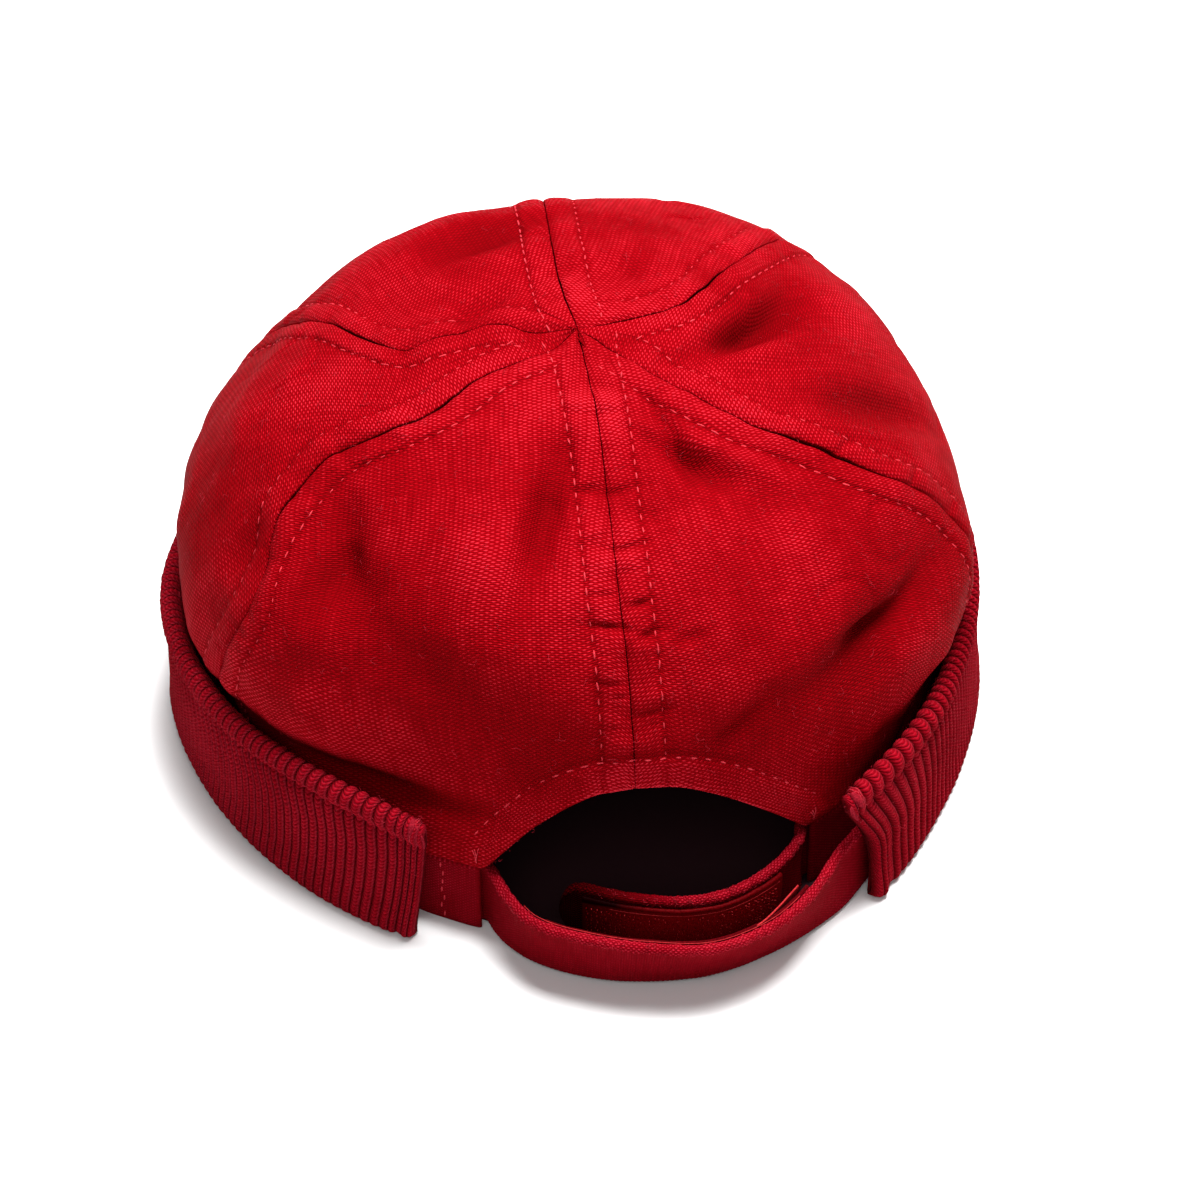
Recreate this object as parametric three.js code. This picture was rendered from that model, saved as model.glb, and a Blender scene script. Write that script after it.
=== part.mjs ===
// Docker beanie: a six-panel canvas crown over a base band, a turned-up ribbed cuff
// and an adjustable back strap below an arched opening.
// Millimetres, +Z up. The wearer faces +Y, so the arched opening looks to -Y.
// A turn is an angle in degrees round the head, from the middle of the back toward +X.
// A level runs down the crown: 0 at the apex, 1 where the crown is widest, more below that.

import * as THREE from "three";

// Crown
const HALF_WIDTH = 87; // head opening, middle to side, at the outside of the base band
const FRONT_LENGTH = 89.7; // middle to forehead
const BACK_LENGTH = 94.7; // middle to nape
const CROWN_HEIGHT = 98.6; // table to apex
const WIDEST_HEIGHT = 42; // table to the level where the crown bags out most
const APEX_SHIFT = 4; // the apex lies this far forward of the middle
const CROWN_BULGE = 4.4; // how far the crown bags out past the base band
const CROWN_SAG = 4; // unit of the slack of worn cloth
const DENT_DEPTH = 3; // unit of the dents and folds
const CROWN_WALL = 1.6; // canvas with its folded seam allowances
const APEX_HOLE = 1.5; // radius left between the panel tips
const SEAM_DIP = 0.8; // the seams lie this deep between the panels
const WALL_RUN = 110; // millimetres for one level, below the widest height

// Back opening
const ARCH_HEIGHT = 43.8; // table to the top of the arch
const ARCH_LEFT = -20.5; // turn of the arch's left foot
const ARCH_RIGHT = 25; // turn of the arch's right foot

// Base band
const BAND_HEIGHT = 20;
const BAND_WALL = 1.6;
const BAND_OVERHANG = 1.5; // degrees that the band's ends reach past the arch's feet

// Ribbed cuff
const CUFF_HEIGHT = 36.5;
const CUFF_THICKNESS = 4.5; // folded double knit
const CUFF_STANDOFF = 9; // the cuff's outer face stands this far off the base band
const CUFF_RIGHT_END = 33;
const CUFF_LEFT_END = 328.5;
const CUFF_ROLL = 2; // softness of the folded edges
const RIB_PITCH = 2.5;
const RIB_DEPTH = 0.9;
const RIB_SWAY = 1.4; // the ribs bend sideways by this much at half height

// Straps and tapes
const STRAP_WIDTH = 18.5;
const STRAP_THICKNESS = 2.2;
const STRAP_BOW = 23; // the outer strap bows this far past the base band
const STRAP_LIFT = 0.5; // the straps' lower edges clear the table by this much
const TAPE_THICKNESS = 1.1;
const TAPE_MARGIN = 1.6; // strap left bare beside a tape

// Clearances
const GAP = 0.3; // between sewn pieces
const CUFF_GAP = 0.6; // between the outer strap's tail and the cuff over it

// How the crown's section changes from back to side to front
const FORM = {
  back: { shoulder: 2.0, crest: 2.7, bulge: -0.39 },
  side: { shoulder: 2.2, crest: 2.7, bulge: 1.0 },
  front: { shoulder: 2.3, crest: 2.8, bulge: 0.86 },
};

// Slack of the worn cloth at three levels, as shares of CROWN_SAG, and how the wall draws
// in below the widest height: under 1 it hangs full, over 1 it draws in at once.
const SLACK_LEVELS = { upper: 0.39, middle: 0.67, lower: 0.94 };
const SLACK_SPAN = 0.28;
const SLACK = [
  { turn: 0, upper: -0.48, middle: -0.72, lower: -0.85, draw: 1 },
  { turn: 30, upper: 0, middle: 0, lower: 0.3, draw: 0.9 },
  { turn: 60, upper: 0, middle: 0, lower: 0.88, draw: 2.6 },
  { turn: 90, upper: 0, middle: -0.9, lower: -0.42, draw: 3 },
  { turn: 120, upper: 0, middle: 0.25, lower: -0.55, draw: 2.6 },
  { turn: 150, upper: 0, middle: 0.75, lower: 0, draw: 2.2 },
  { turn: 180, upper: 0.1, middle: -0.38, lower: 0, draw: 2 },
  { turn: 210, upper: 0.5, middle: -0.22, lower: 0, draw: 2 },
  { turn: 240, upper: 0, middle: -0.52, lower: 0.5, draw: 2 },
  { turn: 270, upper: 0, middle: 0.28, lower: 0.98, draw: 1 },
  { turn: 300, upper: 0, middle: 0, lower: 0.75, draw: 0.8 },
  { turn: 330, upper: 0, middle: -0.2, lower: -1.5, draw: 1 },
  { turn: 360, upper: -0.48, middle: -0.72, lower: -0.85, draw: 1 },
];

// Turn of each seam, from the apex down to the crown's lower edge
const SEAM_LEVELS = [0, 0.25, 0.5, 0.75, 1.2];
const SEAMS = [
  { name: "back", turns: [1, 0, -0.5, 0, 0] },
  { name: "back_right", turns: [42, 47, 57, 66, 69] },
  { name: "front_right", turns: [100, 121, 131, 134, 135] },
  { name: "front", turns: [181, 180, 179, 178, 178] },
  { name: "front_left", turns: [262, 256, 243, 234, 232] },
  { name: "back_left", turns: [306, 298, 289, 295, 294] },
];
const PANELS = [
  { name: "panel_back_right", arch: "at its start" },
  { name: "panel_side_right" },
  { name: "panel_front_right" },
  { name: "panel_front_left" },
  { name: "panel_side_left" },
  { name: "panel_back_left", arch: "at its end" },
];

// Dents (depth over 0) and folds that stand out (under 0). Depth is a share of DENT_DEPTH,
// long and wide are shares of HALF_WIDTH, heading is from level toward straight down.
const DENTS = [
  { name: "front_top", turn: 203, level: 0.29, long: 0.17, wide: 0.1, heading: 0, depth: 0.7 },
  { name: "front_left_pucker", turn: 246, level: 0.2, long: 0.14, wide: 0.06, heading: 20, depth: 0.5 },
  { name: "left_valley", turn: 305, level: 0.6, long: 0.24, wide: 0.1, heading: 60, depth: 0.9 },
  { name: "back_left_ridge", turn: 338, level: 0.5, long: 0.3, wide: 0.14, heading: 80, depth: -0.5 },
  { name: "back_left_fold", turn: 343, level: 0.33, long: 0.2, wide: 0.06, heading: 85, depth: 0.5 },
  { name: "back_right_fold", turn: 26, level: 0.3, long: 0.18, wide: 0.06, heading: 75, depth: 0.6 },
  { name: "right_crease", turn: 94, level: 0.28, long: 0.22, wide: 0.09, heading: -35, depth: 1.0 },
  { name: "right_valley", turn: 74, level: 0.57, long: 0.2, wide: 0.09, heading: 15, depth: 0.6 },
  { name: "low_right_valley", turn: 42, level: 0.88, long: 0.34, wide: 0.12, heading: -20, depth: 0.8 },
  { name: "low_left_ridge", turn: 311, level: 0.97, long: 0.22, wide: 0.1, heading: 0, depth: -0.5 },
];

// The cuff's outer face near the table and near its top fold, as shares of CUFF_STANDOFF,
// and its height as a share of CUFF_HEIGHT
const CUFF_PATH = [
  { turn: 33, low: 1.5, high: 1.3, tall: 0.93 },
  { turn: 38, low: 1.4, high: 1.22, tall: 0.97 },
  { turn: 44, low: 1.27, high: 1.12, tall: 1 },
  { turn: 50, low: 1.14, high: 1, tall: 1 },
  { turn: 62, low: 1.05, high: 0.87, tall: 1 },
  { turn: 78, low: 1.06, high: 0.8, tall: 1 },
  { turn: 105, low: 1.02, high: 0.8, tall: 1 },
  { turn: 180, low: 1, high: 0.88, tall: 1 },
  { turn: 235, low: 1, high: 0.92, tall: 1 },
  { turn: 256, low: 1.2, high: 1.06, tall: 1 },
  { turn: 270, low: 1.45, high: 1.42, tall: 1 },
  { turn: 285, low: 1.38, high: 1.46, tall: 1 },
  { turn: 300, low: 1.27, high: 1.26, tall: 1 },
  { turn: 312, low: 1.2, high: 0.98, tall: 1 },
  { turn: 321, low: 1.15, high: 0.84, tall: 0.98 },
  { turn: 330, low: 1.1, high: 0.86, tall: 0.92 },
];

// The straps' outer faces at their lower and upper edge, as shares of STRAP_BOW.
// TUCKED is the share at which a strap lies against the inside of the base band.
const TUCKED = -(BAND_WALL + 2 * GAP) / STRAP_BOW;
const OUTER_STRAP = [
  { turn: -28, low: TUCKED, high: TUCKED },
  { turn: -23.2, low: TUCKED, high: TUCKED },
  { turn: -21.6, low: TUCKED, high: TUCKED },
  { turn: -20, low: 0.03, high: 0.04 },
  { turn: -18, low: 0.16, high: 0.24 },
  { turn: -14, low: 0.34, high: 0.54 },
  { turn: -7, low: 0.51, high: 0.74 },
  { turn: 0, low: 0.61, high: 0.89 },
  { turn: 6, low: 0.65, high: 0.99 },
  { turn: 11, low: 0.64, high: 0.97 },
  { turn: 16, low: 0.6, high: 0.88 },
  { turn: 21, low: 0.55, high: 0.71 },
  { turn: 27, low: 0.49, high: 0.45 },
  { turn: 32, low: 0.38, high: 0.35 },
  { turn: 38, low: 0.26, high: 0.25 },
  { turn: 44, low: 0.2, high: 0.2 },
];
const INNER_STRAP = [
  { turn: -11, low: -0.07, high: -0.03 },
  { turn: -4, low: 0.09, high: 0.16 },
  { turn: 1, low: 0.2, high: 0.28 },
  { turn: 5, low: 0.26, high: 0.36 },
  { turn: 10, low: 0.3, high: 0.395 },
  { turn: 15, low: 0.27, high: 0.33 },
  { turn: 20, low: 0.17, high: 0.21 },
  { turn: 24.5, low: 0.03, high: 0.04 },
  { turn: 26.1, low: TUCKED, high: TUCKED },
  { turn: 28, low: TUCKED, high: TUCKED },
  { turn: 34, low: TUCKED, high: TUCKED },
];
const LOOP_TAPE = { start: -13, end: 24 };
const HOOK_TAPE = { start: -9.5, end: 21 };

// Fineness
const PANEL_ACROSS = [0, 0.03, 0.2, 0.4, 0.6, 0.8, 0.97, 1]; // shares of a panel's width
const ARCH_ACROSS = [0, 0.03, 0.09, 0.15, 0.21, 0.27, 0.34, 0.52, 0.75, 0.97, 1]; // from the back seam
const PANEL_ROWS = 16;
const BAND_STEPS = 54;
const STRAP_STEPS = 34;
const TAPE_STEPS = 18;

const radians = THREE.MathUtils.degToRad;
const clamp = THREE.MathUtils.clamp;
const lerp = THREE.MathUtils.lerp;

function smoothstep(share) {
  const s = clamp(share, 0, 1);
  return s * s * (3 - 2 * s);
}

// A smooth value between the rows of a table: a cubic whose slope at each row is that
// of the line between its neighbours.
function between(rows, at, value, x) {
  const last = rows.length - 1;
  let i = 0;
  while (i < last - 1 && at(rows[i + 1]) < x) i += 1;
  const slope = (k) => {
    const a = rows[Math.max(k - 1, 0)];
    const b = rows[Math.min(k + 1, last)];
    return (value(b) - value(a)) / (at(b) - at(a));
  };
  const run = at(rows[i + 1]) - at(rows[i]);
  const t = clamp((x - at(rows[i])) / run, 0, 1);
  const start = (1 + 2 * t) * (1 - t) ** 2 * value(rows[i]) + t * (1 - t) ** 2 * run * slope(i);
  const end = t * t * (3 - 2 * t) * value(rows[i + 1]) + t * t * (t - 1) * run * slope(i + 1);
  return start + end;
}

function column(rows, name, turn) {
  return between(rows, (row) => row.turn, (row) => row[name], turn);
}

// The plan of the head opening: half an ellipse to the front and half to the back.
function planRadius(turn) {
  const side = Math.sin(radians(turn));
  const front = -Math.cos(radians(turn));
  const length = front > 0 ? FRONT_LENGTH : BACK_LENGTH;
  return 1 / Math.hypot(side / HALF_WIDTH, front / length);
}

function around(turn, radius, z) {
  return new THREE.Vector3(
    radius * Math.sin(radians(turn)),
    -radius * Math.cos(radians(turn)),
    z,
  );
}

// A form value mixed from back, side and front by the squares of sine and cosine.
function form(turn, name) {
  const side = Math.sin(radians(turn)) ** 2;
  const end = Math.cos(radians(turn)) > 0 ? FORM.back : FORM.front;
  return side * FORM.side[name] + (1 - side) * end[name];
}

function slackColumn(name, turn) {
  const wrapped = THREE.MathUtils.euclideanModulo(turn, 360);
  const i = Math.min(Math.floor(wrapped / 30), SLACK.length - 2);
  const t = smoothstep((wrapped - SLACK[i].turn) / 30);
  return lerp(SLACK[i][name], SLACK[i + 1][name], t);
}

function slack(turn, level) {
  return Object.entries(SLACK_LEVELS).reduce((sum, [name, centre]) => {
    const near = smoothstep(1 - Math.abs(level - centre) / SLACK_SPAN);
    return sum + near * slackColumn(name, turn);
  }, 0) * CROWN_SAG;
}

function dents(turn, level) {
  const girth = HALF_WIDTH * Math.sin(radians(90 * Math.min(level, 1)));
  return DENTS.reduce((sum, dent) => {
    const away = THREE.MathUtils.euclideanModulo(turn - dent.turn + 180, 360) - 180;
    const across = (radians(away) * girth) / HALF_WIDTH;
    const down = ((level - dent.level) * Math.PI) / 2;
    const heading = radians(dent.heading);
    const along = across * Math.cos(heading) + down * Math.sin(heading);
    const aside = -across * Math.sin(heading) + down * Math.cos(heading);
    const near = Math.exp(-((along / dent.long) ** 2) - (aside / dent.wide) ** 2);
    return sum + near * dent.depth;
  }, 0) * DENT_DEPTH;
}

// The crown's outer face without dents. Above the widest height a superellipse falls from
// the apex; below it the wall draws in to the base band.
function crownForm(turn, level) {
  const bulge = CROWN_BULGE * form(turn, "bulge");
  if (level <= 1) {
    const psi = (level * Math.PI) / 2;
    const reach = Math.sin(psi) ** (2 / form(turn, "shoulder"));
    const rise = Math.cos(psi) ** (2 / form(turn, "crest"));
    const sag = slack(turn, level);
    const radius = (planRadius(turn) + bulge) * reach + sag * Math.sin(psi);
    const z = WIDEST_HEIGHT + (CROWN_HEIGHT - WIDEST_HEIGHT) * rise + sag * Math.cos(psi);
    const point = around(turn, radius, z);
    point.y += APEX_SHIFT * (1 - reach);
    return point;
  }
  const z = WIDEST_HEIGHT - (level - 1) * WALL_RUN;
  const share = clamp((z - BAND_HEIGHT) / (WIDEST_HEIGHT - BAND_HEIGHT), 0, 1);
  const held = share ** slackColumn("draw", turn);
  return around(turn, planRadius(turn) + held * (bulge + slack(turn, 1)), z);
}

function crownFace(turn, level, dip) {
  const point = crownForm(turn, level);
  const outward = point.clone().sub(new THREE.Vector3(0, 0, WIDEST_HEIGHT)).normalize();
  return point.addScaledVector(outward, -dents(turn, level) - dip);
}

// The unit normal out of the crown, from the differences along its two directions.
function crownNormal(turn, level, dip) {
  const turnStep = 0.5;
  const levelStep = 0.005;
  const along = crownFace(turn + turnStep, level, dip).sub(crownFace(turn - turnStep, level, dip));
  const down = crownFace(turn, level + levelStep, dip).sub(crownFace(turn, level - levelStep, dip));
  return down.cross(along).normalize();
}

// Height of the crown's lower edge: the base band's top, or the arch over the opening.
function edgeHeight(turn) {
  const wrapped = THREE.MathUtils.euclideanModulo(turn + 180, 360) - 180;
  const foot = wrapped > 0 ? ARCH_RIGHT : ARCH_LEFT;
  const share = clamp(wrapped / foot, 0, 1);
  return BAND_HEIGHT + GAP + (ARCH_HEIGHT - BAND_HEIGHT) * (1 - share ** 2);
}

function edgeLevel(turn) {
  const z = edgeHeight(turn);
  if (z <= WIDEST_HEIGHT) return 1 + (WIDEST_HEIGHT - z) / WALL_RUN;
  const rise = (z - WIDEST_HEIGHT) / (CROWN_HEIGHT - WIDEST_HEIGHT);
  return (Math.acos(rise ** (form(turn, "crest") / 2)) * 2) / Math.PI;
}

function seamTurn(seam, level) {
  const rows = SEAM_LEVELS.map((at, i) => ({ at, turn: seam.turns[i] }));
  return between(rows, (row) => row.at, (row) => row.turn, level);
}

// A closed solid through rings of points. Each ring goes out along one side and comes
// back along the other, so its ends close like a zip.
function loft(rings) {
  const size = rings[0].length;
  const positions = rings.flat().flatMap((point) => point.toArray());
  const index = [];
  const quad = (a, b, c, d) => index.push(a, b, c, a, c, d);
  for (let i = 0; i + 1 < rings.length; i += 1) {
    for (let j = 0; j < size; j += 1) {
      const next = (j + 1) % size;
      quad(i * size + j, i * size + next, (i + 1) * size + next, (i + 1) * size + j);
    }
  }
  const end = (rings.length - 1) * size;
  for (let j = 0; j < size / 2 - 1; j += 1) {
    quad(j, size - 1 - j, size - 2 - j, j + 1);
    quad(end + j, end + j + 1, end + size - 2 - j, end + size - 1 - j);
  }
  const geometry = new THREE.BufferGeometry();
  geometry.setAttribute("position", new THREE.Float32BufferAttribute(positions, 3));
  geometry.setIndex(volume(geometry.attributes.position, index) < 0 ? index.reverse() : index);
  geometry.computeVertexNormals();
  return geometry;
}

function volume(position, index) {
  const corner = (k) => new THREE.Vector3().fromBufferAttribute(position, index[k]);
  let sum = 0;
  for (let k = 0; k < index.length; k += 3) {
    sum += corner(k).dot(corner(k + 1).cross(corner(k + 2)));
  }
  return sum / 6;
}

// Shares of a panel's width for its columns, closer together over the arch.
function columnsOf(arch) {
  if (!arch) return PANEL_ACROSS;
  return arch === "at its start" ? ARCH_ACROSS : ARCH_ACROSS.map((share) => 1 - share).reverse();
}

// One cloth panel between two seams, from its tip at the apex to its lower edge.
function panel(left, right, arch) {
  const span = right.turns[0] < left.turns[0] ? 360 : 0;
  const edgeTurn = (level, share) => {
    const radius = Math.max(crownForm(left.turns[0], level).length() * Math.sin(level), APEX_HOLE);
    const inset = THREE.MathUtils.radToDeg(GAP / 2 / Math.min(radius, HALF_WIDTH)) * 1.2;
    return lerp(seamTurn(left, level) + inset, seamTurn(right, level) + span - inset, share);
  };
  const tip = 2 * Math.asin((APEX_HOLE / HALF_WIDTH) ** (FORM.side.shoulder / 2)) / Math.PI;
  const rings = [];
  for (let row = 0; row <= PANEL_ROWS; row += 1) {
    const outer = [];
    const inner = [];
    for (const share of columnsOf(arch)) {
      const edge = edgeLevel(edgeTurn(1, share));
      const level = lerp(tip, edge, row / PANEL_ROWS);
      const turn = edgeTurn(level, share);
      const dip = share === 0 || share === 1 ? SEAM_DIP : 0;
      const point = crownFace(turn, level, dip);
      outer.push(point);
      inner.unshift(point.clone().addScaledVector(crownNormal(turn, level, dip), -CROWN_WALL));
    }
    rings.push([...outer, ...inner]);
  }
  return loft(rings);
}

function baseBand() {
  const start = ARCH_RIGHT + BAND_OVERHANG;
  const end = 360 + ARCH_LEFT - BAND_OVERHANG;
  const rings = [];
  for (let i = 0; i <= BAND_STEPS; i += 1) {
    const turn = lerp(start, end, i / BAND_STEPS);
    const outer = planRadius(turn);
    const inner = outer - BAND_WALL;
    rings.push([
      around(turn, outer, 0),
      around(turn, outer, BAND_HEIGHT),
      around(turn, inner, BAND_HEIGHT),
      around(turn, inner, 0),
    ]);
  }
  return loft(rings);
}

// How far out the cuff's foot starts: at the base band, or outside the strap's tail.
function cuffFoot(turn) {
  const tail = OUTER_STRAP.at(-1).turn + 1;
  const over = column(OUTER_STRAP, "low", Math.min(turn, tail)) * STRAP_BOW + CUFF_GAP;
  return lerp(over, GAP, smoothstep((turn - tail) / 5));
}

// The cuff: one section for each rib crest and each valley between ribs.
function ribCuff() {
  const sweep = radians(CUFF_LEFT_END - CUFF_RIGHT_END);
  const ribs = Math.round((sweep * (HALF_WIDTH + CUFF_STANDOFF)) / RIB_PITCH);
  const steps = 2 * ribs;
  const rings = [];
  for (let i = 0; i <= steps; i += 1) {
    const turn = lerp(CUFF_RIGHT_END, CUFF_LEFT_END, i / steps);
    const closing = i === 0 || i === steps ? CUFF_ROLL / 2 : 0;
    const crest = i % 2 ? RIB_DEPTH / 2 : -RIB_DEPTH / 2;
    const low = column(CUFF_PATH, "low", turn) * CUFF_STANDOFF - closing;
    const high = column(CUFF_PATH, "high", turn) * CUFF_STANDOFF - closing;
    const top = column(CUFF_PATH, "tall", turn) * CUFF_HEIGHT - closing;
    const foot = cuffFoot(turn);
    const inside = Math.max(low - CUFF_THICKNESS + 2 * closing, foot + CUFF_ROLL / 4);
    const sway = THREE.MathUtils.radToDeg((RIB_SWAY * Math.sin(radians(3 * turn))) / HALF_WIDTH);
    const base = planRadius(turn);
    const at = (offset, z) => {
      const bent = turn + sway * Math.sin((Math.PI * z) / CUFF_HEIGHT);
      return around(bent, base + offset, z);
    };
    rings.push([
      at(low - CUFF_ROLL, 0),
      at(low + crest, 1.5 * CUFF_ROLL),
      at(lerp(low, high, 0.5) - CUFF_ROLL / 4 + crest, top / 2),
      at(high + crest, top - 1.5 * CUFF_ROLL),
      at(high - CUFF_THICKNESS / 2 + crest, top + crest),
      at(high - CUFF_THICKNESS + 2 * closing - crest / 2, top - CUFF_ROLL),
      at(inside, 3 * CUFF_ROLL),
      at(foot, 0),
    ]);
  }
  return loft(rings);
}

// A strap's outer face as sections at even steps, each with its outward normal.
function strapRoute(rows, count) {
  const fine = 400;
  const first = rows[0].turn;
  const last = rows.at(-1).turn;
  const face = (turn) => {
    const low = column(rows, "low", turn) * STRAP_BOW;
    const high = column(rows, "high", turn) * STRAP_BOW;
    const rise = Math.sqrt(STRAP_WIDTH ** 2 - (high - low) ** 2);
    const base = planRadius(turn);
    return {
      turn,
      low: around(turn, base + low, STRAP_LIFT),
      high: around(turn, base + high, STRAP_LIFT + rise),
    };
  };
  const middle = ({ low, high }) => low.clone().add(high).multiplyScalar(0.5);
  const faces = Array.from({ length: fine + 1 }, (_, i) => face(lerp(first, last, i / fine)));
  const run = [0];
  for (let i = 1; i <= fine; i += 1) {
    run.push(run[i - 1] + middle(faces[i]).distanceTo(middle(faces[i - 1])));
  }
  return Array.from({ length: count + 1 }, (_, k) => {
    const want = (run[fine] * k) / count;
    const i = clamp(run.findIndex((value) => value >= want - 1e-9), 1, fine - 1);
    const along = middle(faces[i + 1]).sub(middle(faces[i - 1]));
    const up = faces[i].high.clone().sub(faces[i].low);
    return { ...faces[i], up: up.clone().normalize(), normal: along.cross(up).normalize() };
  });
}

// A flat strip on a strap's route. Its faces lie at two distances from the strap's outer
// face, and its edges at two distances above the strap's lower edge.
function strip(route, { outside, inside, bottom, top }) {
  const rings = route.map(({ low, up, normal }) => {
    const corner = (height, distance) => (
      low.clone().addScaledVector(up, height).addScaledVector(normal, distance)
    );
    return [
      corner(bottom, outside),
      corner(top, outside),
      corner(top, inside),
      corner(bottom, inside),
    ];
  });
  return loft(rings);
}

function strap(rows) {
  const size = { outside: 0, inside: -STRAP_THICKNESS, bottom: 0, top: STRAP_WIDTH };
  return strip(strapRoute(rows, STRAP_STEPS), size);
}

function tape(rows, { start, end }, outside) {
  const route = strapRoute(rows, 4 * TAPE_STEPS)
    .filter(({ turn }, i) => turn >= start && turn <= end && i % 2 === 0);
  return strip(route, {
    outside,
    inside: outside - TAPE_THICKNESS,
    bottom: TAPE_MARGIN,
    top: STRAP_WIDTH - TAPE_MARGIN,
  });
}

const CANVAS = new THREE.MeshStandardMaterial({ color: 0xa8101c, roughness: 0.9, metalness: 0 });
const BINDING = new THREE.MeshStandardMaterial({ color: 0x98101c, roughness: 0.9, metalness: 0 });
const KNIT = new THREE.MeshStandardMaterial({ color: 0x8c0f1a, roughness: 0.95, metalness: 0 });
const TAPE = new THREE.MeshStandardMaterial({ color: 0x6d0c14, roughness: 0.7, metalness: 0 });

function named(name, geometry, material) {
  const mesh = new THREE.Mesh(geometry, material);
  mesh.name = name;
  return mesh;
}

const pieces = PANELS.map(({ name, arch }, i) => (
  named(name, panel(SEAMS[i], SEAMS[(i + 1) % SEAMS.length], arch), CANVAS)
));
pieces.push(named("base_band", baseBand(), BINDING));
pieces.push(named("rib_cuff", ribCuff(), KNIT));
pieces.push(named("strap_outer", strap(OUTER_STRAP), BINDING));
pieces.push(named("strap_inner", strap(INNER_STRAP), BINDING));
pieces.push(named("loop_tape", tape(OUTER_STRAP, LOOP_TAPE, -STRAP_THICKNESS - GAP), TAPE));
pieces.push(named("hook_tape", tape(INNER_STRAP, HOOK_TAPE, TAPE_THICKNESS + GAP), TAPE));

// The origin goes to the middle of the bounding box, on the table.
const beanie = new THREE.Group();
beanie.add(...pieces);
const box = new THREE.Box3().setFromObject(beanie, true);
const middle = box.getCenter(new THREE.Vector3());
for (const piece of pieces) piece.geometry.translate(-middle.x, -middle.y, -box.min.z);

export default beanie;
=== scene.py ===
# %% [markdown]
# # A worn docker beanie
# The cap is a brimless canvas cap: six crown panels, an arched opening at the back, a base
# band, a turned-up rib-knit cuff and a strap that closes with hook and loop tape.
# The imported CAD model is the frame. It fixes every size, and this lesson dresses it: each
# piece is worked out again as a fine surface from the same named sizes, so it lies where
# its CAD solid lies.

# %% Load the frame
import math
from functools import partial

import bpy
import numpy as np
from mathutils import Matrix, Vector


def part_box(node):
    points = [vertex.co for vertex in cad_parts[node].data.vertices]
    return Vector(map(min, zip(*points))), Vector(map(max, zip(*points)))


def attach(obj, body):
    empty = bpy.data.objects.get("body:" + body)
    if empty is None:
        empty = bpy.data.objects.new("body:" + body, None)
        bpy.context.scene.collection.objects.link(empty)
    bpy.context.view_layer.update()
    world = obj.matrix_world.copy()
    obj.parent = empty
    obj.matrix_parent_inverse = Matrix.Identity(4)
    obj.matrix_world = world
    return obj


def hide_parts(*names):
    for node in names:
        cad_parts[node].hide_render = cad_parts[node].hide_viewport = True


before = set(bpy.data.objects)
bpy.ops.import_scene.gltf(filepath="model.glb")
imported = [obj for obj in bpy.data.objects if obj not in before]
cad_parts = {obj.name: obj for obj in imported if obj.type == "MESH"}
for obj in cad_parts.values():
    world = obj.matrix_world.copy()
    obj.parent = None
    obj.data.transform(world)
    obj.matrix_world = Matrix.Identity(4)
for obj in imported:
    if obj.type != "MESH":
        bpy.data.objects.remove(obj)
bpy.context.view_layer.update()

# %% [markdown]
# ## Sizes
# Lengths are in millimetres in the head's own frame: the crown's axis stands at 0, 0 and
# the wearer faces +Y. SHIFT carries that frame into the CAD row's frame, and it is read
# off the base band's box, so nothing has to be fitted by hand.
# A turn is an angle in degrees round the head, from the middle of the back toward +X.
# A level runs down the crown: 0 at the apex, 1 where the crown is widest, more below.

# %% Named sizes
MM = 0.001
HALF_WIDTH, FRONT_LENGTH, BACK_LENGTH = 87.0, 89.7, 94.7
CROWN_HEIGHT, WIDEST_HEIGHT = 98.6, 42.0
APEX_SHIFT, CROWN_BULGE, CROWN_SAG, DENT_DEPTH = 4.0, 4.4, 4.0, 3.0
CROWN_WALL, WALL_RUN = 1.6, 110.0
ARCH_HEIGHT, ARCH_LEFT, ARCH_RIGHT = 43.8, -20.5, 25.0
BAND_HEIGHT, BAND_WALL, BAND_OVERHANG = 20.0, 1.6, 1.5
CUFF_HEIGHT, CUFF_THICKNESS, CUFF_STANDOFF = 36.5, 4.5, 9.0
CUFF_RIGHT_END, CUFF_LEFT_END = 33.0, 328.5
RIB_PITCH, RIB_SWAY = 2.5, 1.4
STRAP_WIDTH, STRAP_THICKNESS, STRAP_BOW, STRAP_LIFT = 18.5, 2.2, 23.0, 0.5
TAPE_THICKNESS, TAPE_MARGIN = 1.1, 1.6
GAP, CUFF_GAP = 0.3, 0.6
band_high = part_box("base_band")[1]
SHIFT = np.array([band_high.x / MM - HALF_WIDTH, band_high.y / MM - FRONT_LENGTH, 0.0])
print("head frame lies at", SHIFT.round(2), "mm in the row frame")

# %% [markdown]
# ## Small tools
# A shape is a whole array of points at once. These helpers interpolate a short table,
# give smooth repeatable noise, and put arrays into a mesh.


# %% Interpolation
def smooth(share):
    """A soft step: 3 s squared minus 2 s cubed, from 0 to 1."""
    s = np.clip(share, 0, 1)
    return s * s * (3 - 2 * s)


def mix(a, b, share):
    """a where share is 0, b where it is 1, and a straight line between."""
    return a + (b - a) * share


def bell(x, width):
    """A bell shape: 1 where x is 0, and e to the minus (x / width) squared beside it."""
    return np.exp(-((x / width) ** 2))


def together(*parts):
    """Arrays of numbers as the coordinates of one array of points."""
    return np.stack(np.broadcast_arrays(*parts), axis=-1)


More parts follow.
